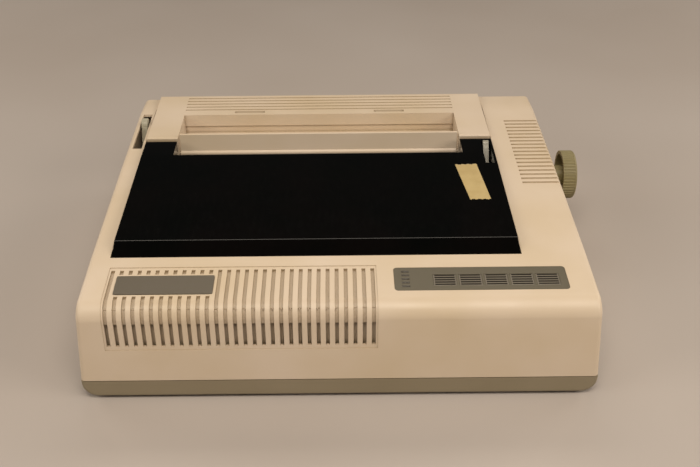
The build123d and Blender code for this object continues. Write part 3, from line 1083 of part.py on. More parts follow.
POSTS_XY = [post_centre(corner, end, inward) for corner, end, inward in zip(BAND_CORNERS, BAND_ENDS, (1, -1))]
POST_FOOT_Z = 58.0
TABLE_Z = SPOOL_Z - 1.6
with BuildPart() as ribbon_supports:
    # a table with its spindle for each spool
    for x, frame_x, inside in ((SPOOL_X[0], FRAME_L, 1), (SPOOL_X[1], FRAME_R, -1)):
        rod_z(x, SPOOL_Y, SPOOL_RADIUS - 4, TABLE_Z - 1.5, TABLE_Z)
        rod_z(x, SPOOL_Y, SPINDLE_R, TABLE_Z - 1, SPOOL_Z + SPOOL_HEIGHT + 2)
        rod_z(x, SPOOL_Y, SPINDLE_R + 3, TABLE_Z - 1, SPOOL_Z - GAP)
        block(sorted((frame_x, frame_x + inside * 30)), (124, 152), (TABLE_Z - 1.5, TABLE_Z))
        block(sorted((frame_x, frame_x + inside * 1.5)), (116, 146), (40, TABLE_Z))
    # the guide posts on their brackets
    for (x, y), wall_x in zip(POSTS_XY, (FRAME_L, FRAME_R)):
        rod_z(x, y, POST_R, POST_FOOT_Z, RIBBON_Z + RIBBON_WIDTH + 4)
        rod_z(x, y, POST_R + 2, POST_FOOT_Z, POST_FOOT_Z + 1.2)
        block(sorted((x, wall_x)), (y - 3, y + 3), (POST_FOOT_Z - 1.2, POST_FOOT_Z))
hand_over(ribbon_supports, "ribbon_supports")

# the band runs from each spool round its post and straight past the platen
with BuildPart() as ribbon:
    with BuildSketch(Plane.XY.offset(RIBBON_Z)) as band:
        with BuildLine():
            FilletPolyline(BAND_ENDS[0], *BAND_CORNERS, BAND_ENDS[1], radius=BAND_BEND)
        trace(line_width=RIBBON_T)
    extrude(band.sketch, amount=RIBBON_WIDTH)
hand_over(ribbon, "ribbon")


# =================================================================================
# Tractors behind the platen
# =================================================================================
SQUARE = 2 * TRACTOR_SHAFT_R
with BuildPart() as tractor_shaft:
    rod_x(*TRACTOR, TRACTOR_SHAFT_R, GEAR_X[0] - 1, FRAME_R + FRAME_T + 3)
    gear_x(*TRACTOR, TRACTOR_TEETH, *GEAR_X, turn=TRACTOR_TURN)
    with BuildSketch(Plane.YZ.offset(FRAME_L + 2)) as square:
        with Locations(TRACTOR):
            Rectangle(SQUARE, SQUARE)
    extrude(square.sketch, amount=2 * FRAME_HALF - 4)
hand_over(tractor_shaft, "tractor_shaft")

TRACTOR_X = (FRAME_MID_X - 112.0, FRAME_MID_X + 112.0)
PIN_WHEEL_R = 9.0
PINS = 6
for side, x in zip(("left", "right"), TRACTOR_X):
    inward = 1 if x < FRAME_MID_X else -1
    with BuildPart() as wheel:
        x0 = x + inward * 4.2
        limits = sorted((x0, x0 + inward * 6.0))
        rod_x(*TRACTOR, PIN_WHEEL_R, *limits)
        with BuildSketch(Plane.YZ.offset(limits[0])) as square:
            with Locations(TRACTOR):
                Rectangle(SQUARE + 2 * RUN_FIT, SQUARE + 2 * RUN_FIT)
        extrude(square.sketch, amount=6.0, mode=Mode.SUBTRACT)
        middle = sum(limits) / 2
        for pin in range(PINS):
            angle = 2 * pi * (pin + 0.5) / PINS
            direction = Vector(0, cos(angle), sin(angle))
            foot = Vector(middle, *TRACTOR) + direction * (PIN_WHEEL_R - 0.5)
            with BuildSketch(Plane(origin=foot, x_dir=(1, 0, 0), z_dir=direction)) as tip:
                Circle(1.7)
            extrude(tip.sketch, amount=2.6, taper=14)
    hand_over(wheel, f"{side}_pin_wheel")
    with BuildPart() as body:
        limits = sorted((x - inward * 3.0, x + inward * 3.9))
        side_outline([(TRACTOR[0] - 15, TRACTOR[1] - 25), (TRACTOR[0] - 15, TRACTOR[1] + 4),
                      (TRACTOR[0] - 10, TRACTOR[1] + 11), (TRACTOR[0] + 10, TRACTOR[1] + 11),
                      (TRACTOR[0] + 14, TRACTOR[1] + 4), (TRACTOR[0] + 14, TRACTOR[1] - 25)],
                     *limits, round_by=3.0)
        rod_x(*TRACTOR, SQUARE * 0.75 + 0.2, limits[0] - 1, limits[1] + 1, mode=Mode.SUBTRACT)
        rod_x(*SUPPORT_ROD[:2], SUPPORT_ROD[2] + RUN_FIT, limits[0] - 1, limits[1] + 1, mode=Mode.SUBTRACT)
    hand_over(body, f"{side}_tractor")


# =================================================================================
# Electrical parts
# =================================================================================
CHIPS = [(-40.0, 46.0, 15.0, 52.0), (-10.0, 46.0, 15.0, 52.0), (20.0, 46.0, 9.0, 36.0),
         (38.0, 46.0, 7.0, 20.0), (-40.0, 98.0, 20.0, 10.0), (-15.0, 98.0, 20.0, 10.0),
         (10.0, 98.0, 20.0, 10.0), (38.0, 98.0, 20.0, 10.0)]    # centre x, y, width, length
with BuildPart() as main_board:
    block((-156, 66), (18, 118), (BOARD_Z, BOARD_Z + 1.6))
    for x, y, wide, long in CHIPS:
        block((x - wide / 2, x + wide / 2), (y - long / 2, y + long / 2), (BOARD_Z + 1.6, BOARD_Z + 5.0))
    for x in (-140.0, -118.0, -92.0):
        rod_z(x, 100.0, 9.0, BOARD_Z + 1.6, BOARD_Z + 28)
hand_over(main_board, "main_board")

HEAT_FINS = 14
with BuildPart() as heat_sink:
    block((-150, -60), (28, 60), (BOARD_Z + 1.6, BOARD_Z + 5))
    with BuildSketch(Plane.XY.offset(BOARD_Z + 4)) as fins:
        with Locations((-105, 44)):
            with GridLocations(90 / HEAT_FINS, 1, HEAT_FINS, 1):
                Rectangle(1.6, 32)
    extrude(fins.sketch, amount=34)
hand_over(heat_sink, "heat_sink")

TRANSFORMER = ((134.0, 190.0), (262.0, 316.0))
TRAY_FLOOR = FOOT_HEIGHT + WALL
with BuildPart() as transformer:
    block(TRANSFORMER[0], TRANSFORMER[1], (TRAY_FLOOR, TRAY_FLOOR + 2))
    block((TRANSFORMER[0][0] + 2, TRANSFORMER[0][1] - 2), (TRANSFORMER[1][0] + 12, TRANSFORMER[1][1] - 12),
          (TRAY_FLOOR + 2, TRAY_FLOOR + 46))
    with BuildSketch(Plane.XY.offset(TRAY_FLOOR + 10)) as winding:
        with Locations((sum(TRANSFORMER[0]) / 2, sum(TRANSFORMER[1]) / 2)):
            RectangleRounded(36, 50, 6)
    extrude(winding.sketch, amount=28)
hand_over(transformer, "transformer")

SOCKET_DEPTH = 18.0
FLANGE_T = 1.5


def rear_plane(place, out=0.0):
    """Work plane on the rear wall at (x, z); extrusions run into the case."""
    return Plane(origin=(place[0], DEPTH + out, place[1]), x_dir=(1, 0, 0), z_dir=(0, -1, 0))


with BuildPart() as power_inlet:
    with BuildSketch(rear_plane(INLET, FLANGE_T)) as flange:
        RectangleRounded(INLET_SIZE[0] + 5, INLET_SIZE[1] + 5, 3)
    extrude(flange.sketch, amount=FLANGE_T)
    with BuildSketch(rear_plane(INLET)) as body:
        Rectangle(INLET_SIZE[0] - 2 * GAP, INLET_SIZE[1] - 2 * GAP)
    extrude(body.sketch, amount=SOCKET_DEPTH)
    with BuildSketch(rear_plane(INLET, FLANGE_T)) as mouth:
        with BuildLine():
            Polyline((-10.5, -7.0), (10.5, -7.0), (10.5, 3.5), (7.0, 7.0), (-7.0, 7.0),
                     (-10.5, 3.5), close=True)
        make_face()
    extrude(mouth.sketch, amount=15.0, mode=Mode.SUBTRACT)
    with BuildSketch(rear_plane(INLET, -1.5)) as blades:
        with Locations((-6.5, -1.5), (6.5, -1.5), (0, 2.5)):
            Rectangle(2.0, 4.6)
    extrude(blades.sketch, amount=13.0)
hand_over(power_inlet, "power_inlet")

ROCKER_PIVOT = (SWITCH[0], DEPTH - 2.0)
ROCKER = (SWITCH_SIZE[0] - 4.0, SWITCH_SIZE[1] - 3.0)
ROCKER_LEAN = 7.0
ROCKER_PIN = 1.2
with BuildPart() as switch_bezel:
    with BuildSketch(rear_plane(SWITCH, FLANGE_T)) as flange:
        RectangleRounded(SWITCH_SIZE[0] + 4, SWITCH_SIZE[1] + 4, 2)
    extrude(flange.sketch, amount=FLANGE_T)
    with BuildSketch(rear_plane(SWITCH)) as body:
        Rectangle(SWITCH_SIZE[0] - 2 * GAP, SWITCH_SIZE[1] - 2 * GAP)
    extrude(body.sketch, amount=16)
    with BuildSketch(rear_plane(SWITCH, FLANGE_T)) as well:
        Rectangle(ROCKER[0] + 2 * GAP, ROCKER[1] + 2 * GAP)
    extrude(well.sketch, amount=11.5, mode=Mode.SUBTRACT)
    pin_half = ROCKER[1] / 2 + GAP + 0.5
    rod_z(*ROCKER_PIVOT, ROCKER_PIN, SWITCH[1] - pin_half, SWITCH[1] + pin_half)
hand_over(switch_bezel, "switch_bezel")

with BuildPart() as power_rocker:
    lean = Plane(origin=(*ROCKER_PIVOT, SWITCH[1] - ROCKER[1] / 2), x_dir=(1, 0, 0), z_dir=(0, 0, 1))
    with BuildSketch(lean.rotated((0, 0, ROCKER_LEAN))) as rocker:
        with BuildLine():
            Polyline((-6.6, -2.6), (-6.6, 3.4), (0, 2.4), (6.6, 3.4), (6.6, -2.6), (0, -4.2), close=True)
        make_face()
        Circle(ROCKER_PIN + RUN_FIT, mode=Mode.SUBTRACT)
    extrude(rocker.sketch, amount=ROCKER[1])
hand_over(power_rocker, "power_rocker")

PORT_PINS = 18
CLIP_WIRE = 0.9
CLIP_HALF = 7.4
CLIP_REACH = 9.0
CLIP_STUB = 4.4           # the wire's ends sit in the eyes
CLIP_X = PORT_SIZE[0] / 2 + 5.0      # clip pivots, either side of the port's middle
CLIP_Y = DEPTH + FLANGE_T + 1.6
with BuildPart() as printer_port:
    with BuildSketch(rear_plane(PORT, FLANGE_T)) as flange:
        RectangleRounded(PORT_SIZE[0] + 14, PORT_SIZE[1] + 1, 2)
    extrude(flange.sketch, amount=FLANGE_T)
    with BuildSketch(rear_plane(PORT)) as body:
        Rectangle(PORT_SIZE[0] - 2 * GAP, PORT_SIZE[1] - 2 * GAP)
    extrude(body.sketch, amount=14)
    with BuildSketch(rear_plane(PORT, PORT_REACH)) as shield:
        with BuildLine():
            Polyline((-29.0, -5.0), (29.0, -5.0), (32.0, 5.0), (-32.0, 5.0), close=True)
        make_face()
    extrude(shield.sketch, amount=PORT_REACH)
    with BuildSketch(rear_plane(PORT, PORT_REACH)) as mouth:
        with BuildLine():
            Polyline((-28.0, -4.2), (28.0, -4.2), (30.8, 4.2), (-30.8, 4.2), close=True)
        make_face()
        Rectangle(54, 3.2, mode=Mode.SUBTRACT)
    extrude(mouth.sketch, amount=PORT_REACH - FLANGE_T, mode=Mode.SUBTRACT)
    with BuildSketch(rear_plane(PORT, PORT_REACH - 1)) as contacts:
        with GridLocations(2.8, 3.2, PORT_PINS, 2):
            Rectangle(1.0, 0.7)
    extrude(contacts.sketch, amount=PORT_REACH - FLANGE_T - 1)
    # eyes for the two wire clips
    for side in (-1, 1):
        with Locations(Location((PORT[0] + side * CLIP_X, CLIP_Y, PORT[1]))):
            Box(3.0, 3.6, 12.0)
        rod_z(PORT[0] + side * CLIP_X, CLIP_Y, CLIP_WIRE + RUN_FIT, PORT[1] - 8, PORT[1] + 8,
              mode=Mode.SUBTRACT)
hand_over(printer_port, "printer_port")

for name, side in (("left_clip", -1), ("right_clip", 1)):
    with BuildPart() as clip:
        x = PORT[0] + side * CLIP_X
        tip = x + side * CLIP_REACH
        low = PORT[1] - CLIP_HALF
        high = PORT[1] + CLIP_HALF
        with BuildLine(Plane.XZ.offset(-CLIP_Y)) as bend:
            FilletPolyline((x, low + CLIP_STUB), (x, low), (tip, low), (tip, high), (x, high),
                           (x, high - CLIP_STUB), radius=2 * CLIP_WIRE)
        start = Plane(origin=(x, CLIP_Y, low + CLIP_STUB), x_dir=(1, 0, 0), z_dir=(0, 0, -1))
        with BuildSketch(start) as wire:
            Circle(CLIP_WIRE)
        sweep(sections=wire.sketch, path=bend.line)
    hand_over(clip, name)
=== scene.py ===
"""Looks of a desk-top dot matrix printer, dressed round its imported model."""
import json
import math

import bmesh
import bpy
from mathutils import Matrix, Vector


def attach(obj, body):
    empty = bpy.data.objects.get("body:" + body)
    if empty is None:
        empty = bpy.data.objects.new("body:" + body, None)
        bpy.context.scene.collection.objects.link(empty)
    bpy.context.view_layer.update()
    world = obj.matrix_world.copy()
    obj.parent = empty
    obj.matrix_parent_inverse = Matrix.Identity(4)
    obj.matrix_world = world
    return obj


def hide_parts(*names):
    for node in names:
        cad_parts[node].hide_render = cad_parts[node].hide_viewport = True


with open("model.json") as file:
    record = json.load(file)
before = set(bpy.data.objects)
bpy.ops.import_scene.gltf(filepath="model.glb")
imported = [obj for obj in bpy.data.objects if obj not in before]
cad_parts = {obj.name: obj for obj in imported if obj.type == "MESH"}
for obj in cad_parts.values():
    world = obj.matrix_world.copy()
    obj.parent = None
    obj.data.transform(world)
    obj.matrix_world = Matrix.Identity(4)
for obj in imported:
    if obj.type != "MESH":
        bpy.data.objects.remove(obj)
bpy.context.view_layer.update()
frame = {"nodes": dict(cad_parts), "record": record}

MM = 0.001

# colours as sRGB hex; a pair holds the two ends of a surface's soft variation
CREAM = ("D1C0AD", "C7B499")
# brown of the painted shade laid in the casing's corners, grooves and vent slots
HOLLOW_SHADE = "8F7A5C"
TRAY_OLIVE = ("887C66", "81755E")
NAME_GREY = ("534A3E", "585040")
PLATE_GREY = ("524A3A", "56503D")
KEY_GREY = ("6E675B", "665F53")
KEY_STRIPE = ("2A251D", "332D24")
KNOB_OLIVE = ("857B56", "7C724E")
TAPE_BUFF = ("AD9662", "B7A16D")
FLOOR_PALE = ("A89E97", "AEA59F")
SMOKE = ("030302", "060403")
ACETAL_WHITE = ("D9D4C6", "E6E1D4")
RIBBON_INK = ("08080C", "15151C")
LEVER_GREY = ("8D897D", "989487")
LAMP_TINT = "FFF4E4"
ROOM_TINT = "C9CCCB"

# where the casing's own frame (middle of the front face at the desk) lies in this one
CASING = Vector((-11.25 * MM, -182 * MM, 0))
LEVER_LEFT_X = 136.5 * MM    # casing frame; the bail's hand lever lies to the right of this
DECK_SLOPE = math.radians(4.6)
UP_SLOPE = Vector((0, math.cos(DECK_SLOPE), math.sin(DECK_SLOPE)))
DECK_NORMAL = Vector((0, -math.sin(DECK_SLOPE), math.cos(DECK_SLOPE)))


# --- helpers ---------------------------------------------------------------------
def linear(code):
    """An sRGB hex colour as linear RGBA."""
    parts = [int(code[place:place + 2], 16) / 255 for place in (0, 2, 4)]
    return (*[c / 12.92 if c <= 0.04045 else ((c + 0.055) / 1.055) ** 2.4 for c in parts], 1.0)


def add_node(tree, kind, inputs=None, **settings):
    """A node with its settings; an input takes a value, or a socket that is linked to it."""
    node = tree.nodes.new(kind)
    for name, value in settings.items():
        setattr(node, name, value)
    for key, value in (inputs or {}).items():
        if isinstance(value, bpy.types.NodeSocket):
            tree.links.new(value, node.inputs[key])
        else:
            node.inputs[key].default_value = value
    return node


def new_surface(name, **values):
    """A material with one Principled shader: gives the material, tree, shader and Object coordinates."""
    material = bpy.data.materials.new(name)
    material.use_nodes = True
    tree = material.node_tree
    shader = tree.nodes["Principled BSDF"]
    for key, value in values.items():
        shader.inputs[key.replace("_", " ")].default_value = value
    place = add_node(tree, "ShaderNodeTexCoord").outputs["Object"]
    return material, tree, shader, place


def mottle(tree, place, size, detail=2.0, roughness=0.5, stretch=None):
    """Noise whose lumps are about as large as given, in metres."""
    if stretch:
        place = add_node(tree, "ShaderNodeMapping", {"Vector": place, "Scale": stretch}).outputs["Vector"]
    return add_node(tree, "ShaderNodeTexNoise", {"Vector": place, "Scale": 1 / size, "Detail": detail,
                                                 "Roughness": roughness}).outputs["Fac"]


def blended(tree, factor, low, high, start=0.35, end=0.65):
    """A colour that goes from low to high as the factor goes from start to end."""
    ramp = add_node(tree, "ShaderNodeValToRGB", {"Fac": factor})
    ramp.color_ramp.elements[0].position = start
    ramp.color_ramp.elements[1].position = end
    ramp.color_ramp.elements[0].color = linear(low)
    ramp.color_ramp.elements[1].color = linear(high)
    return ramp.outputs["Color"]


def rough_between(tree, factor, low, high):
    """A roughness that goes from low to high over the middle of the factor's range."""
    return add_node(tree, "ShaderNodeMapRange", {"Value": factor, "From Min": 0.3, "From Max": 0.7,
                                                 "To Min": low, "To Max": high}).outputs["Result"]


def bumped(tree, shader, height, strength, distance):
    """Drives the shader's normal by a height, with a relief of the given distance."""
    bump = add_node(tree, "ShaderNodeBump", {"Height": height, "Strength": strength, "Distance": distance})
    tree.links.new(bump.outputs["Normal"], shader.inputs["Normal"])


# --- materials -------------------------------------------------------------------
def over(tree, factor, below, above):
    """One colour over another, as far as the factor goes."""
    return add_node(tree, "ShaderNodeMix", {"Factor": factor, 6: below, 7: above}, data_type="RGBA").outputs[2]


def moulded_abs(name, fresh, aged, roughness=0.46, grain=0.7 * MM):
    """ABS from a spark-eroded mould: fine even grain, satin sheen, yellowed in soft patches."""
    material, tree, shader, place = new_surface(name, IOR=1.54)
    age = mottle(tree, place, 90 * MM, detail=3.0)
    tint = blended(tree, age, fresh, aged, 0.30, 0.72)
    fine = mottle(tree, place, grain, detail=1.0)
    tree.links.new(tint, shader.inputs["Base Color"])
    tree.links.new(rough_between(tree, mottle(tree, place, 25 * MM), roughness - 0.05, roughness + 0.06),
                   shader.inputs["Roughness"])
    # the grain of the mould is 0.1 to 0.2 mm; it is drawn coarser so that it shows
    bumped(tree, shader, fine, 0.25, 0.04 * MM)
    return material


def case_abs():
    """Cream casing plastic, with painted shade from ambient occlusion darkening its corners and grooves."""
    material = moulded_abs("cream_abs", *CREAM)
    tree = material.node_tree
    shader = tree.nodes["Principled BSDF"]
    tint = shader.inputs["Base Color"].links[0].from_socket
    # painted shade: ambient occlusion within 4 mm darkens corners, grooves and slots towards the shade brown
    corner = add_node(tree, "ShaderNodeAmbientOcclusion", {"Distance": 4 * MM}, samples=6).outputs["AO"]
    painted_shade = add_node(tree, "ShaderNodeMapRange", {"Value": corner, "From Min": 0.25, "From Max": 0.85,
                                                 "To Min": 0.0, "To Max": 1.0}).outputs["Result"]
    tree.links.new(over(tree, painted_shade, linear(HOLLOW_SHADE), tint), shader.inputs["Base Color"])
    return material


def smoked_acrylic():
    """Smoked acrylic, polished: almost black, varying softly between two near blacks, one slightly warm."""
    material, tree, shader, place = new_surface("smoked_acrylic", IOR=1.49, Roughness=0.09,
                                                Specular_IOR_Level=0.35)
    tree.links.new(blended(tree, mottle(tree, place, 60 * MM), *SMOKE), shader.inputs["Base Color"])
    scuffs = mottle(tree, place, 3 * MM, detail=4.0, stretch=(1.0, 0.25, 1.0))
    tree.links.new(rough_between(tree, scuffs, 0.07, 0.14), shader.inputs["Roughness"])
    return material


def printed_plate(name="grey_plate", low=PLATE_GREY[0], high=PLATE_GREY[1]):
    """Satin lacquered plate, grey with an olive cast and fine cross-wise brushing under the lacquer."""
    material, tree, shader, place = new_surface(name, IOR=1.5, Coat_Weight=0.25, Coat_Roughness=0.3)
    lines = mottle(tree, place, 0.5 * MM, detail=2.0, stretch=(0.03, 1.0, 1.0))
    tree.links.new(blended(tree, lines, low, high, 0.2, 0.8), shader.inputs["Base Color"])
    tree.links.new(rough_between(tree, lines, 0.36, 0.5), shader.inputs["Roughness"])
    return material


def steel(name, low, high, roughness, stretch, size=1.2 * MM):
    """Bare or plated steel: drawn or ground lines, grey with slight colour differences."""
    material, tree, shader, place = new_surface(name, Metallic=1.0)
    lines = mottle(tree, place, size, detail=3.0, stretch=stretch)
    cloud = mottle(tree, place, 14 * MM, detail=2.0)
    tree.links.new(blended(tree, cloud, low, high), shader.inputs["Base Color"])
    tree.links.new(rough_between(tree, lines, roughness - 0.08, roughness + 0.1),
                   shader.inputs["Roughness"])
    bumped(tree, shader, lines, 0.15, 0.02 * MM)
    return material


def acetal():
    """Natural acetal gears: milky white, slightly waxy."""
    material, tree, shader, place = new_surface("acetal", IOR=1.48, Subsurface_Weight=0.15,
                                                Subsurface_Scale=0.004)
    tree.links.new(blended(tree, mottle(tree, place, 8 * MM), *ACETAL_WHITE), shader.inputs["Base Color"])
    tree.links.new(rough_between(tree, mottle(tree, place, 2 * MM), 0.32, 0.44), shader.inputs["Roughness"])
    return material


def dull_rubber(name="rubber", low="141312", high="1F1D1B", roughness=0.7):
    """Ground rubber: dull, near black, with a dusty bloom."""
    material, tree, shader, place = new_surface(name, IOR=1.52)
    tree.links.new(blended(tree, mottle(tree, place, 5 * MM, detail=4.0), low, high),
                   shader.inputs["Base Color"])
    tree.links.new(rough_between(tree, mottle(tree, place, 3 * MM), roughness - 0.08, roughness + 0.1),
                   shader.inputs["Roughness"])
    bumped(tree, shader, mottle(tree, place, 0.5 * MM), 0.3, 0.05 * MM)
    return material


def dark_plastic(name="glass_filled_nylon", low="151514", high="20201E", roughness=0.5, grain=0.9 * MM):
    """Glass filled nylon: black with pale specks of fibre and a matt moulded skin."""
    material, tree, shader, place = new_surface(name, IOR=1.53)
    tree.links.new(blended(tree, mottle(tree, place, grain, detail=4.0), low, high, 0.45, 0.7),
                   shader.inputs["Base Color"])
    tree.links.new(rough_between(tree, mottle(tree, place, 6 * MM), roughness - 0.08, roughness + 0.08),
                   shader.inputs["Roughness"])
    bumped(tree, shader, mottle(tree, place, grain), 0.2, 0.03 * MM)
    return material


def inked_ribbon():
    """Inked nylon band: woven threads of about 0.2 mm, drawn at 0.6 mm so that they show."""
    material, tree, shader, place = new_surface("inked_ribbon", IOR=1.5, Sheen_Weight=0.2)
    warp = add_node(tree, "ShaderNodeTexWave", {"Vector": place, "Scale": 1 / (0.6 * MM) / math.tau},
                    wave_type="BANDS", bands_direction="Z")
    tree.links.new(blended(tree, warp.outputs["Fac"], *RIBBON_INK, 0.2, 0.8), shader.inputs["Base Color"])
    tree.links.new(rough_between(tree, warp.outputs["Fac"], 0.55, 0.8), shader.inputs["Roughness"])
    bumped(tree, shader, warp.outputs["Fac"], 0.4, 0.05 * MM)
    return material


def crepe_tape():
    """Masking tape: buff creped paper, dull, with cross ridges of about 0.8 mm and a mottled glue stain."""
    material, tree, shader, place = new_surface("crepe_tape", IOR=1.45, Sheen_Weight=0.15)
    stain = mottle(tree, place, 12 * MM, detail=3.0)
    tree.links.new(blended(tree, stain, *TAPE_BUFF), shader.inputs["Base Color"])
    ridges = mottle(tree, place, 0.8 * MM, detail=2.0, stretch=(0.15, 1.0, 1.0))
    tree.links.new(rough_between(tree, ridges, 0.62, 0.8), shader.inputs["Roughness"])
    bumped(tree, shader, ridges, 0.5, 0.12 * MM)
    return material


def bail_finish():
    """Ground steel rod and arms; the hand lever at the right is grey moulded plastic."""
    material = steel("rod_and_lever", "B9BAB8", "CDCDCA", 0.22, (1.0, 0.1, 0.1))
    tree = material.node_tree
    shader = tree.nodes["Principled BSDF"]
    metal = shader.inputs["Base Color"].links[0].from_socket
    place = add_node(tree, "ShaderNodeTexCoord").outputs["Object"]
    across = add_node(tree, "ShaderNodeSeparateXYZ", {"Vector": place}).outputs["X"]
    lever = add_node(tree, "ShaderNodeMath", {0: across, 1: CASING.x + LEVER_LEFT_X},
                     operation="GREATER_THAN").outputs[0]
    plastic = blended(tree, mottle(tree, place, 6 * MM), *LEVER_GREY)
    tree.links.new(over(tree, lever, metal, plastic), shader.inputs["Base Color"])
    bare = add_node(tree, "ShaderNodeMath", {0: 1.0, 1: lever}, operation="SUBTRACT").outputs[0]
    tree.links.new(bare, shader.inputs["Metallic"])
    return material


MATERIALS = {
    "case": case_abs(),
    "tray": moulded_abs("olive_grey_abs", *TRAY_OLIVE, roughness=0.5),
    "cover_smoked": smoked_acrylic(),
    "plate_grey": printed_plate(),
    "key_grey": moulded_abs("grey_abs_keys", *KEY_GREY, roughness=0.48),
    "lamp": dark_plastic("lamp_lens", "38322A", "40392F", roughness=0.3),
    "knob": moulded_abs("olive_abs_knob", *KNOB_OLIVE, roughness=0.5),
    "lever": moulded_abs("grey_lever_abs", "A5A08F", "9A947F", roughness=0.42),
    "rubber": dull_rubber(),
    "frame_steel": steel("zinc_plated_sheet", "AEB0AE", "C2C1B8", 0.36, (1.0, 0.15, 1.0)),
    "rod_steel": steel("ground_rod", "B9BAB8", "CDCDCA", 0.22, (1.0, 0.1, 0.1)),
    "gear": acetal(),
    "carriage": dark_plastic(),
    "head": steel("black_anodised_fins", "3B3B3D", "4A4A4C", 0.42, (1.0, 1.0, 0.1)),
    "motor": dark_plastic("black_enamel", "111111", "1B1B1B", roughness=0.32, grain=2 * MM),
    "belt": dull_rubber("belt_rubber", "121212", "1C1B1A"),
    "spool": dark_plastic("spool_plastic", "0E0E0E", "181817", roughness=0.36),
    "ribbon": inked_ribbon(),
    "board": dark_plastic("solder_resist", "1F5A33", "2A6B3E", roughness=0.35, grain=6 * MM),
    "heat_sink": steel("extruded_aluminium", "B4B5B6", "C8C9CA", 0.34, (0.1, 1.0, 1.0)),
    "transformer": steel("varnished_laminations", "5A4A38", "6A5945", 0.48, (1.0, 1.0, 0.06)),
    "socket": dark_plastic("black_phenolic", "0D0D0D", "161616", roughness=0.34),
    "port": steel("tinned_shell", "B7B7B0", "C9C9C2", 0.3, (0.2, 1.0, 1.0)),
    "screw": steel("zinc_screw", "9C9C96", "B3B3AD", 0.38, (1.0, 1.0, 0.2)),
}
NAME_PLATE_FINISH = printed_plate("name_plate_grey", *NAME_GREY)
KEY_STRIPES = dark_plastic("key_stripes", *KEY_STRIPE, roughness=0.6)
BAIL_FINISH = bail_finish()
TAPE_FINISH = crepe_tape()


# --- pieces that ease the edges of the CAD's mouldings ---------------------------
def settled(piece):
    """Turns a piece's live modifiers into its plain mesh."""
    graph = bpy.context.evaluated_depsgraph_get()
    mesh = bpy.data.meshes.new_from_object(piece.evaluated_get(graph), preserve_all_data_layers=True,
                                           depsgraph=graph)
    piece.modifiers.clear()
    piece.data = mesh


def new_piece(name, mesh, material, body):
    """A piece of one material that rides on a body; the material is a slot's name or a material."""
    piece = bpy.data.objects.new(name, mesh)
    bpy.context.scene.collection.objects.link(piece)
    piece.data.materials.clear()
    piece.data.materials.append(MATERIALS[material] if isinstance(material, str) else material)
    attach(piece, body)
    return piece


# the material slot of each node, and the body it belongs to
SLOTS = {row["node"]: row["material_slot"] for row in frame["record"]["subparts"]}
BODY = {node: body for body, nodes in frame["record"]["behaviour"]["bodies"].items() for node in nodes}

# width of each eased edge, mm
EASED = {"top_case": 0.45, "rear_cover": 0.45, "paper_guide": 0.4, "base_tray": 0.45, "front_cover": 0.5,
         "name_plate": 0.12, "control_plate": 0.12, "release_lever": 0.6,
         **{f"key_{key}": 0.12 for key in range(1, 6)}}
WELD = 0.002 * MM                                        # corners closer than this are one
FLAT = math.radians(0.5)                                 # facets that turn less than this are one face
SHARP = math.radians(34)                                 # edges that turn more than this are eased

PRESSED_RADIUS = 3 * MM                                  # corner radius of both plates' blanks
CORNERS = {"name_plate": 0.8 * MM, "control_plate": 2.0 * MM}
CORNER_SLACK = 0.001 * MM
# pieces with slots or grooves inside a flat face keep that face's own facets
KEEP_FACETS = {"rear_cover", "control_plate"} | {f"key_{key}" for key in range(1, 6)}
KEY_SETTLE = 1.5 * MM                                    # the keys sit almost flush with their plate
KEY_CAP = (17.6 * MM, 13.4 * MM)                         # across and up the slope
KEY_GROW = 0.5 * MM                                      # closes most of the gap round a cap
KEY_RIM = 0.4 * MM                                       # the end of a cap that never holds a groove
GROOVES = 5
GROOVE_HALF = 0.55 * MM
GROOVE_WIDEN = 0.27 * MM                                 # each side, to the width that shows
GROOVE_REACH = 7.7 * MM                                  # half length of a groove, with a hair of room
GROOVE_DEPTH = (0.08 * MM, 0.9 * MM)                     # a groove's faces lie between these below the top
GROOVE_SLACK = 0.03 * MM


def tighter_corners(shape, radius):
    """Draws a plate's rounded corners out to a smaller radius, in the plane of the sloping deck."""
    xs = [vert.co.x for vert in shape.verts]
    ups = [vert.co.dot(UP_SLOPE) for vert in shape.verts]
    middle = ((min(xs) + max(xs)) / 2, (min(ups) + max(ups)) / 2)
    half = ((max(xs) - min(xs)) / 2, (max(ups) - min(ups)) / 2)
    for vert in shape.verts:
        along = (vert.co.x - middle[0], vert.co.dot(UP_SLOPE) - middle[1])
        past = [abs(a) - (h - PRESSED_RADIUS) for a, h in zip(along, half)]
        if min(past) < -CORNER_SLACK:
            continue
        drawn = [h - radius + p * radius / PRESSED_RADIUS for h, p in zip(half, past)]
        vert.co.x += math.copysign(drawn[0], along[0]) - along[0]
        vert.co += UP_SLOPE * (math.copysign(drawn[1], along[1]) - along[1])


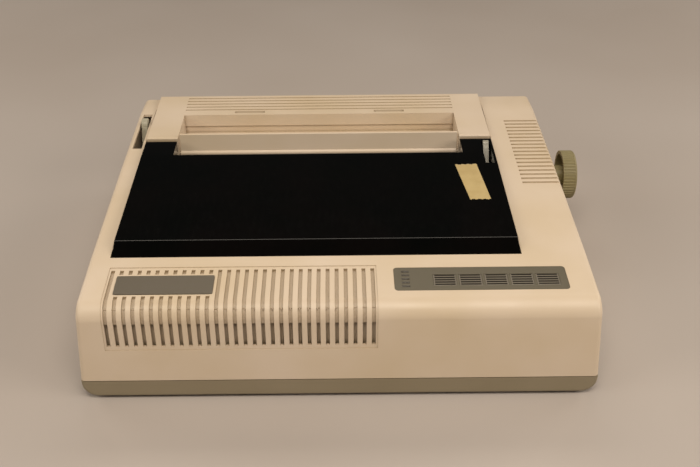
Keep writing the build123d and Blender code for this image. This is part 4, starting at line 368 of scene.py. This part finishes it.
def striped(shape):
    """Widens a cap's grooves and lets it down and out to its plate; lists the grooves' dark faces."""
    xs = [vert.co.x for vert in shape.verts]
    centre = (min(xs) + max(xs)) / 2
    ups = [vert.co.dot(UP_SLOPE) for vert in shape.verts]
    level = (min(ups) + max(ups)) / 2
    top = max(vert.co.dot(DECK_NORMAL) for vert in shape.verts)
    pitch = KEY_CAP[1] / GROOVES

    def in_grooves(point):
        sunk = top - point.dot(DECK_NORMAL)
        return abs(point.x - centre) < GROOVE_REACH and sunk < GROOVE_DEPTH[1]

    for vert in shape.verts:
        if not in_grooves(vert.co):
            continue
        for groove in range(GROOVES):
            off = vert.co.dot(UP_SLOPE) - level - pitch * (groove - (GROOVES - 1) / 2)
            if abs(abs(off) - GROOVE_HALF) < GROOVE_SLACK:
                vert.co += UP_SLOPE * math.copysign(GROOVE_WIDEN, off)
                break
    dark = []
    shape.faces.index_update()
    for face in shape.faces:
        spot = face.calc_center_median()
        below_top = top - spot.dot(DECK_NORMAL) > GROOVE_DEPTH[0]
        off_rim = abs(spot.dot(UP_SLOPE) - level) < KEY_CAP[1] / 2 - KEY_RIM
        if in_grooves(spot) and below_top and off_rim:
            dark.append(face.index)
    for vert in shape.verts:
        vert.co.x += (vert.co.x - centre) * KEY_GROW / KEY_CAP[0]
        vert.co += UP_SLOPE * (vert.co.dot(UP_SLOPE) - level) * KEY_GROW / KEY_CAP[1]
    bmesh.ops.translate(shape, verts=shape.verts, vec=-DECK_NORMAL * KEY_SETTLE)
    return dark


def eased(node, width):
    """A copy of a moulding with its sharp edges rounded as a mould leaves them."""
    shape = bmesh.new()
    shape.from_mesh(frame["nodes"][node].data)
    bmesh.ops.remove_doubles(shape, verts=shape.verts, dist=WELD)
    if node not in KEEP_FACETS:
        bmesh.ops.dissolve_limit(shape, angle_limit=FLAT, verts=shape.verts, edges=shape.edges)
    if node in CORNERS:
        tighter_corners(shape, CORNERS[node])
    dark = striped(shape) if node.startswith("key_") else []
    mesh = bpy.data.meshes.new(node + "_eased")
    shape.to_mesh(mesh)
    shape.free()
    finish = NAME_PLATE_FINISH if node == "name_plate" else SLOTS[node]
    piece = new_piece(node + "_eased", mesh, finish, BODY[node])
    if dark:
        piece.data.materials.append(KEY_STRIPES)
    for face in dark:
        piece.data.polygons[face].material_index = 1
    bevel = piece.modifiers.new("Eased edges", "BEVEL")
    bevel.width = width
    bevel.segments = 2
    bevel.limit_method = "ANGLE"
    bevel.angle_limit = SHARP
    bevel.miter_outer = "MITER_ARC"
    normals = piece.modifiers.new("Flat faces", "WEIGHTED_NORMAL")
    normals.keep_sharp = True
    for face in piece.data.polygons:
        face.use_smooth = True
    settled(piece)
    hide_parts(node)


for name, node in frame["nodes"].items():
    node.data.materials.clear()
    node.data.materials.append(BAIL_FINISH if name == "bail" else MATERIALS[SLOTS[name]])
for name, width in EASED.items():
    eased(name, width * MM)


# --- pieces that only the looks need ------------------------------------------------
TAPE_CORNERS = [(106.8, 199.0), (126.5, 199.0), (131.9, 138.5), (113.8, 138.5)]   # casing frame, mm
TAPE_CELLS = (28, 72)                   # across and along
TAPE_THICK = 0.14 * MM
LID_BREAK = (79.5 * MM, 99.3 * MM)      # depth and height where the lid's bevel meets its top
LID_REAR = (222.0 * MM, 104.0 * MM)


def lid_top(depth):
    """Height of the front cover's top at a depth from the casing's front."""
    share = (depth - LID_BREAK[0]) / (LID_REAR[0] - LID_BREAK[0])
    return LID_BREAK[1] + share * (LID_REAR[1] - LID_BREAK[1])


def tape_strip():
    """A short length of masking tape at the lid's right: torn ends, a few creases, one lifted edge."""
    rear_left, rear_right, front_right, front_left = [Vector(corner) * MM for corner in TAPE_CORNERS]
    cells_across, cells_along = TAPE_CELLS
    shape = bmesh.new()
    rows = []
    for along in range(cells_along + 1):
        v = along / cells_along
        row = []
        for across in range(cells_across + 1):
            u = across / cells_across
            spot = rear_left.lerp(rear_right, u).lerp(front_left.lerp(front_right, u), v)
            end = max(0.0, 1 - min(v, 1 - v) * 9)
            torn = end * (0.55 * math.sin(23 * u + 4 * v) + 0.35 * math.sin(61 * u + 1.3)) * MM
            crease = 0.16 * max(0.0, math.sin(9 * v + 3.1 * u)) ** 8
            crease += 0.10 * max(0.0, math.sin(17 * v - 5 * u)) ** 10
            lifted = 0.7 * max(0.0, 1 - v * 14) ** 2 * max(0.0, u - 0.45)
            depth = spot.y + torn
            height = lid_top(depth) + TAPE_THICK + (crease + lifted) * MM
            row.append(shape.verts.new((CASING.x + spot.x, CASING.y + depth, height)))
        rows.append(row)
    for near, far in zip(rows, rows[1:]):
        for left in range(cells_across):
            shape.faces.new((near[left], far[left], far[left + 1], near[left + 1]))
    bmesh.ops.recalc_face_normals(shape, faces=shape.faces)
    if sum(face.normal.z for face in shape.faces) < 0:
        bmesh.ops.reverse_faces(shape, faces=shape.faces)
    mesh = bpy.data.meshes.new("masking_tape")
    shape.to_mesh(mesh)
    shape.free()
    for face in mesh.polygons:
        face.use_smooth = True
    piece = new_piece("masking_tape", mesh, TAPE_FINISH, "front_cover")
    wall = piece.modifiers.new("Thickness", "SOLIDIFY")
    wall.thickness = TAPE_THICK
    wall.offset = -1
    settled(piece)


BAFFLE_X = (-181.0, 31.0)         # casing frame, mm
BAFFLE_Y = (5.2, 6.8)
BAFFLE_Z = (44.0, 84.0)
BAFFLE_RIBS = 31
RIB_SIZE = (0.8, 1.0)             # across and deep, mm
RIB_START = 0.5 * MM              # from the wall's left end to the first rib's middle
BAFFLE_EDGE = 0.15 * MM


def row_of_ribs(material):
    """A node tree that lays a straight row of equal ribs."""
    tree = bpy.data.node_groups.new("row_of_ribs", "GeometryNodeTree")
    for name, kind in (("Count", "NodeSocketInt"), ("Start", "NodeSocketVector"),
                       ("Pitch", "NodeSocketVector"), ("Size", "NodeSocketVector")):
        tree.interface.new_socket(name, in_out="INPUT", socket_type=kind)
    tree.interface.new_socket("Geometry", in_out="OUTPUT", socket_type="NodeSocketGeometry")
    given = add_node(tree, "NodeGroupInput").outputs
    line = add_node(tree, "GeometryNodeMeshLine",
                    {"Count": given["Count"], "Start Location": given["Start"], "Offset": given["Pitch"]},
                    mode="OFFSET")
    rib = add_node(tree, "GeometryNodeMeshCube", {"Size": given["Size"]})
    placed = add_node(tree, "GeometryNodeInstanceOnPoints", {"Points": line.outputs["Mesh"],
                                                             "Instance": rib.outputs["Mesh"]})
    real = add_node(tree, "GeometryNodeRealizeInstances", {"Geometry": placed.outputs["Instances"]})
    dressed = add_node(tree, "GeometryNodeSetMaterial", {"Geometry": real.outputs["Geometry"],
                                                         "Material": material})
    add_node(tree, "NodeGroupOutput", {"Geometry": dressed.outputs["Geometry"]})
    return tree


def vent_baffle():
    """The moulded wall behind the open part of the grille, with a small rib between each pair of slots."""
    low, high = [Vector(corner) * MM + CASING for corner in zip(BAFFLE_X, BAFFLE_Y, BAFFLE_Z)]
    shape = bmesh.new()
    for vert in bmesh.ops.create_cube(shape, size=1.0)["verts"]:
        vert.co = Vector([low[i] + (vert.co[i] + 0.5) * (high[i] - low[i]) for i in range(3)])
    mesh = bpy.data.meshes.new("vent_baffle")
    shape.to_mesh(mesh)
    shape.free()
    wall = new_piece("vent_baffle", mesh, "case", "root")
    ribs = new_piece("vent_baffle_ribs", bpy.data.meshes.new("vent_baffle_ribs"), "case", "root")
    pitch = (high.x - low.x) / BAFFLE_RIBS
    row = ribs.modifiers.new("Row of ribs", "NODES")
    row.node_group = row_of_ribs(MATERIALS["case"])
    sizes = {"Count": BAFFLE_RIBS, "Pitch": (pitch, 0, 0),
             "Start": (low.x + RIB_START, low.y - RIB_SIZE[1] * MM / 2, (low.z + high.z) / 2),
             "Size": (RIB_SIZE[0] * MM, RIB_SIZE[1] * MM, high.z - low.z)}
    for socket in row.node_group.interface.items_tree:
        if socket.name in sizes:
            row[socket.identifier] = sizes[socket.name]
    for piece in (wall, ribs):
        edge = piece.modifiers.new("Eased edges", "BEVEL")
        edge.width = BAFFLE_EDGE
        edge.segments = 2
        settled(piece)


tape_strip()
vent_baffle()


# --- floor, light and camera -----------------------------------------------------
FLOOR_REACH = 6.0
BRIGHTNESS = 0.829          # all lamps together
LAMP_TARGET = Vector((0, 0, 0.05))
# each lamp's place, width and depth in metres, and power; the rear lamps stand where neither the lid nor
# its bevel mirrors them to the camera
LAMPS = {
    "high_front": ((0.05, -0.95, 1.45), 1.0, 0.6, 22),
    "left_front": ((-1.3, -0.7, 0.9), 0.9, 0.7, 10),
    "right_front": ((1.3, -0.7, 0.9), 0.9, 0.7, 14),
    "high_rear": ((0, 0.95, 1.45), 1.4, 0.3, 7),
    "left_rear": ((-1.4, 0.8, 0.7), 0.8, 0.6, 8),
    "right_rear": ((1.4, 0.8, 0.7), 0.8, 0.6, 8),
}
ROOM_STRENGTH = 0.06
LENS, SENSOR = 52.5, 36                   # mm
LOOK_DOWN, ROLL = 31.5, -0.57             # degrees
CAMERA_PLACE = (-0.01125, -0.8072, 0.536)
SHIFT_X = 11.8 / 700                      # the photograph's middle lies a little right of the object's


def floor_sheet():
    """A plain pale floor."""
    mesh = bpy.data.meshes.new("floor")
    corners = [(x * FLOOR_REACH, y * FLOOR_REACH, 0) for x, y in ((-1, -1), (1, -1), (1, 1), (-1, 1))]
    mesh.from_pydata(corners, [], [(0, 1, 2, 3)])
    floor = bpy.data.objects.new("floor", mesh)
    bpy.context.scene.collection.objects.link(floor)
    material, tree, shader, place = new_surface("pale_floor", Roughness=0.6)
    tree.links.new(blended(tree, mottle(tree, place, 0.4, detail=2.0), *FLOOR_PALE),
                   shader.inputs["Base Color"])
    mesh.materials.append(material)


def panel(name, place, wide, deep, power):
    """A soft rectangular lamp that looks at the object."""
    light = bpy.data.lights.new(name, "AREA")
    light.shape = "RECTANGLE"
    light.size = wide
    light.size_y = deep
    light.energy = power * BRIGHTNESS
    light.color = linear(LAMP_TINT)[:3]
    lamp = bpy.data.objects.new(name, light)
    lamp.location = place
    lamp.rotation_euler = (LAMP_TARGET - Vector(place)).to_track_quat("-Z", "Y").to_euler()
    bpy.context.scene.collection.objects.link(lamp)


def room_light():
    """Soft light from all round, strongest from above the camera, shown in plain photographic tones."""
    for name, settings in LAMPS.items():
        panel(name, *settings)
    world = bpy.data.worlds.new("room")
    world.use_nodes = True
    background = world.node_tree.nodes["Background"].inputs
    background["Color"].default_value = linear(ROOM_TINT)
    background["Strength"].default_value = ROOM_STRENGTH
    bpy.context.scene.world = world
    bpy.context.scene.view_settings.view_transform = "Standard"


def camera():
    """The photograph's viewpoint, looking down at the front and very slightly rolled."""
    data = bpy.data.cameras.new("camera")
    data.sensor_width = SENSOR
    data.lens = LENS
    data.clip_end = 50
    data.shift_x = SHIFT_X
    view = bpy.data.objects.new("camera", data)
    turn = (Matrix.Rotation(math.radians(90 - LOOK_DOWN), 4, "X")
            @ Matrix.Rotation(math.radians(ROLL), 4, "Z"))
    view.matrix_world = Matrix.Translation(CAMERA_PLACE) @ turn
    bpy.context.scene.collection.objects.link(view)
    bpy.context.scene.camera = view


floor_sheet()
room_light()
camera()
